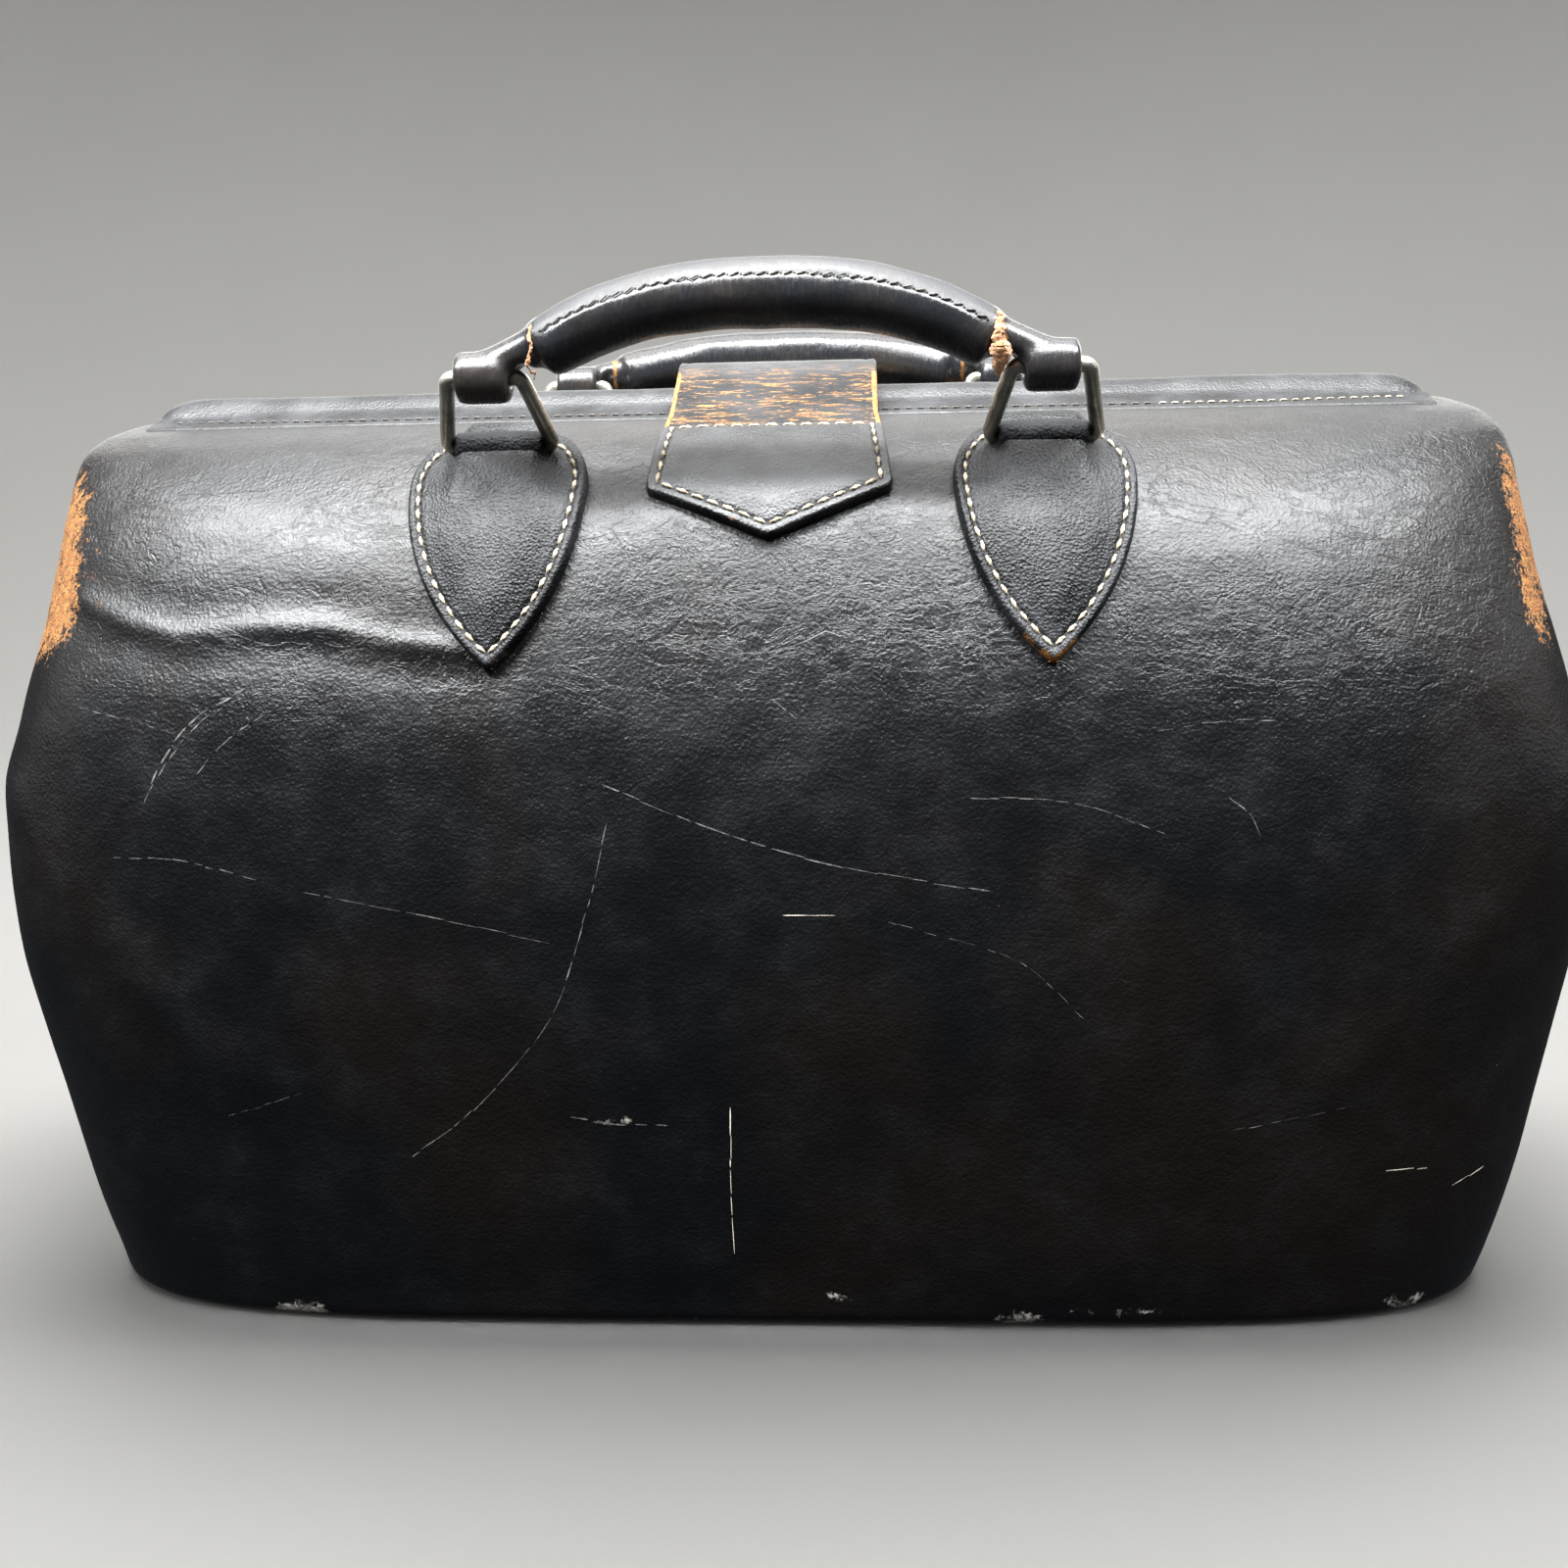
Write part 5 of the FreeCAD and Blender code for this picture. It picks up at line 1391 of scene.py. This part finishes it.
def make_lights(stage):
    lights = [
        add_light("key_left", (-0.82, -0.64, 1.36), (-0.05, -0.05, 0.20), (0.90, 0.46), 102.0, COOL),
        add_light("key_right", (0.72, -0.56, 1.38), (0.05, -0.05, 0.20), (0.80, 0.46), 76.0, COOL),
        add_light("key_middle", (-0.06, -0.39, 1.46), (0, -0.06, 0.22), (0.66, 0.26), 105.0, COOL),
        add_light("back", (0.0, 1.25, 0.75), (0, 0, 0.22), (2.6, 1.0), 30.0, (1.0, 0.995, 0.97))]
    for light in lights:
        keep_off(light, stage)
    add_light("top", (0.0, 0.35, 1.5), (0, 0, 0.1), (1.8, 0.8), 37.0, (1.0, 0.995, 0.98))
    add_light("side_left", (-1.6, -0.2, 0.8), (0, 0, 0.12), (0.8, 0.9), 3.0)
    add_light("side_right", (1.6, 0.0, 0.8), (0, 0, 0.12), (0.8, 0.9), 3.0)
    world = bpy.data.worlds.new("studio")
    world.use_nodes = True
    background = world.node_tree.nodes["Background"]
    background.inputs["Color"].default_value = (0.80, 0.85, 0.92, 1.0)
    background.inputs["Strength"].default_value = 0.06
    bpy.context.scene.world = world
    bpy.context.scene.view_settings.view_transform = "Standard"


CAMERA_PLACE = (0.0224, -0.4583, 0.2293)
CAMERA_TURN = (2.92, 11.67, -1.13)      # yaw, pitch and roll in degrees
SENSOR, LENS = 36.0, 33.66


def make_camera():
    yaw, pitch, roll = (math.radians(angle) for angle in CAMERA_TURN)
    forward = Vector((-math.sin(yaw) * math.cos(pitch), math.cos(yaw) * math.cos(pitch), -math.sin(pitch)))
    right = Vector((math.cos(yaw), math.sin(yaw), 0))
    up = right.cross(forward)
    turned_right = right * math.cos(roll) + up * math.sin(roll)
    turned_up = up * math.cos(roll) - right * math.sin(roll)
    data = bpy.data.cameras.new("camera")
    data.sensor_width = SENSOR
    data.lens = LENS
    data.clip_start = 0.01
    camera = bpy.data.objects.new("camera", data)
    camera.matrix_world = Matrix((turned_right, turned_up, -forward)).transposed().to_4x4()
    camera.location = CAMERA_PLACE
    bpy.context.scene.collection.objects.link(camera)
    bpy.context.scene.camera = camera


def finish_nodes(names, material):
    """Gives carried-over CAD nodes their material."""
    for name in names:
        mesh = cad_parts[name].data
        mesh.materials.clear()
        mesh.materials.append(material)


def main():
    make_camera()
    make_lights(make_stage())
    for side in ("front", "back"):
        make_wall(side)
        make_lining(side)
        make_band(side)
        for end in ("right", "left"):
            make_tab(side, end)
        make_handle(side)
    make_gusset("right_end_gusset", 1)
    make_gusset("left_end_gusset", -1)
    make_strap()
    make_lock()
    base_plate("base_leather", 2.9, 0.0, 3.0, M["base"], "base_panel")
    base_plate("floor_lining", 5.5, 5.4, 6.3, M["lining"], "base_lining", 0.4)
    make_scratches()
    finish_nodes([f"{s}_{e}_ring" for s in ("front", "back") for e in ("left", "right")], M["nickel"])
    finish_nodes(["front_frame", "back_frame"], M["steel"])
    finish_nodes([f"{e}_hinge_{k}" for e in ("left", "right") for k in ("plate", "pin")], M["bright_steel"])
    finish_nodes(["base_board"], M["board"])
    finish_nodes(["front_handle_core", "back_handle_core"], M["cord"])


main()
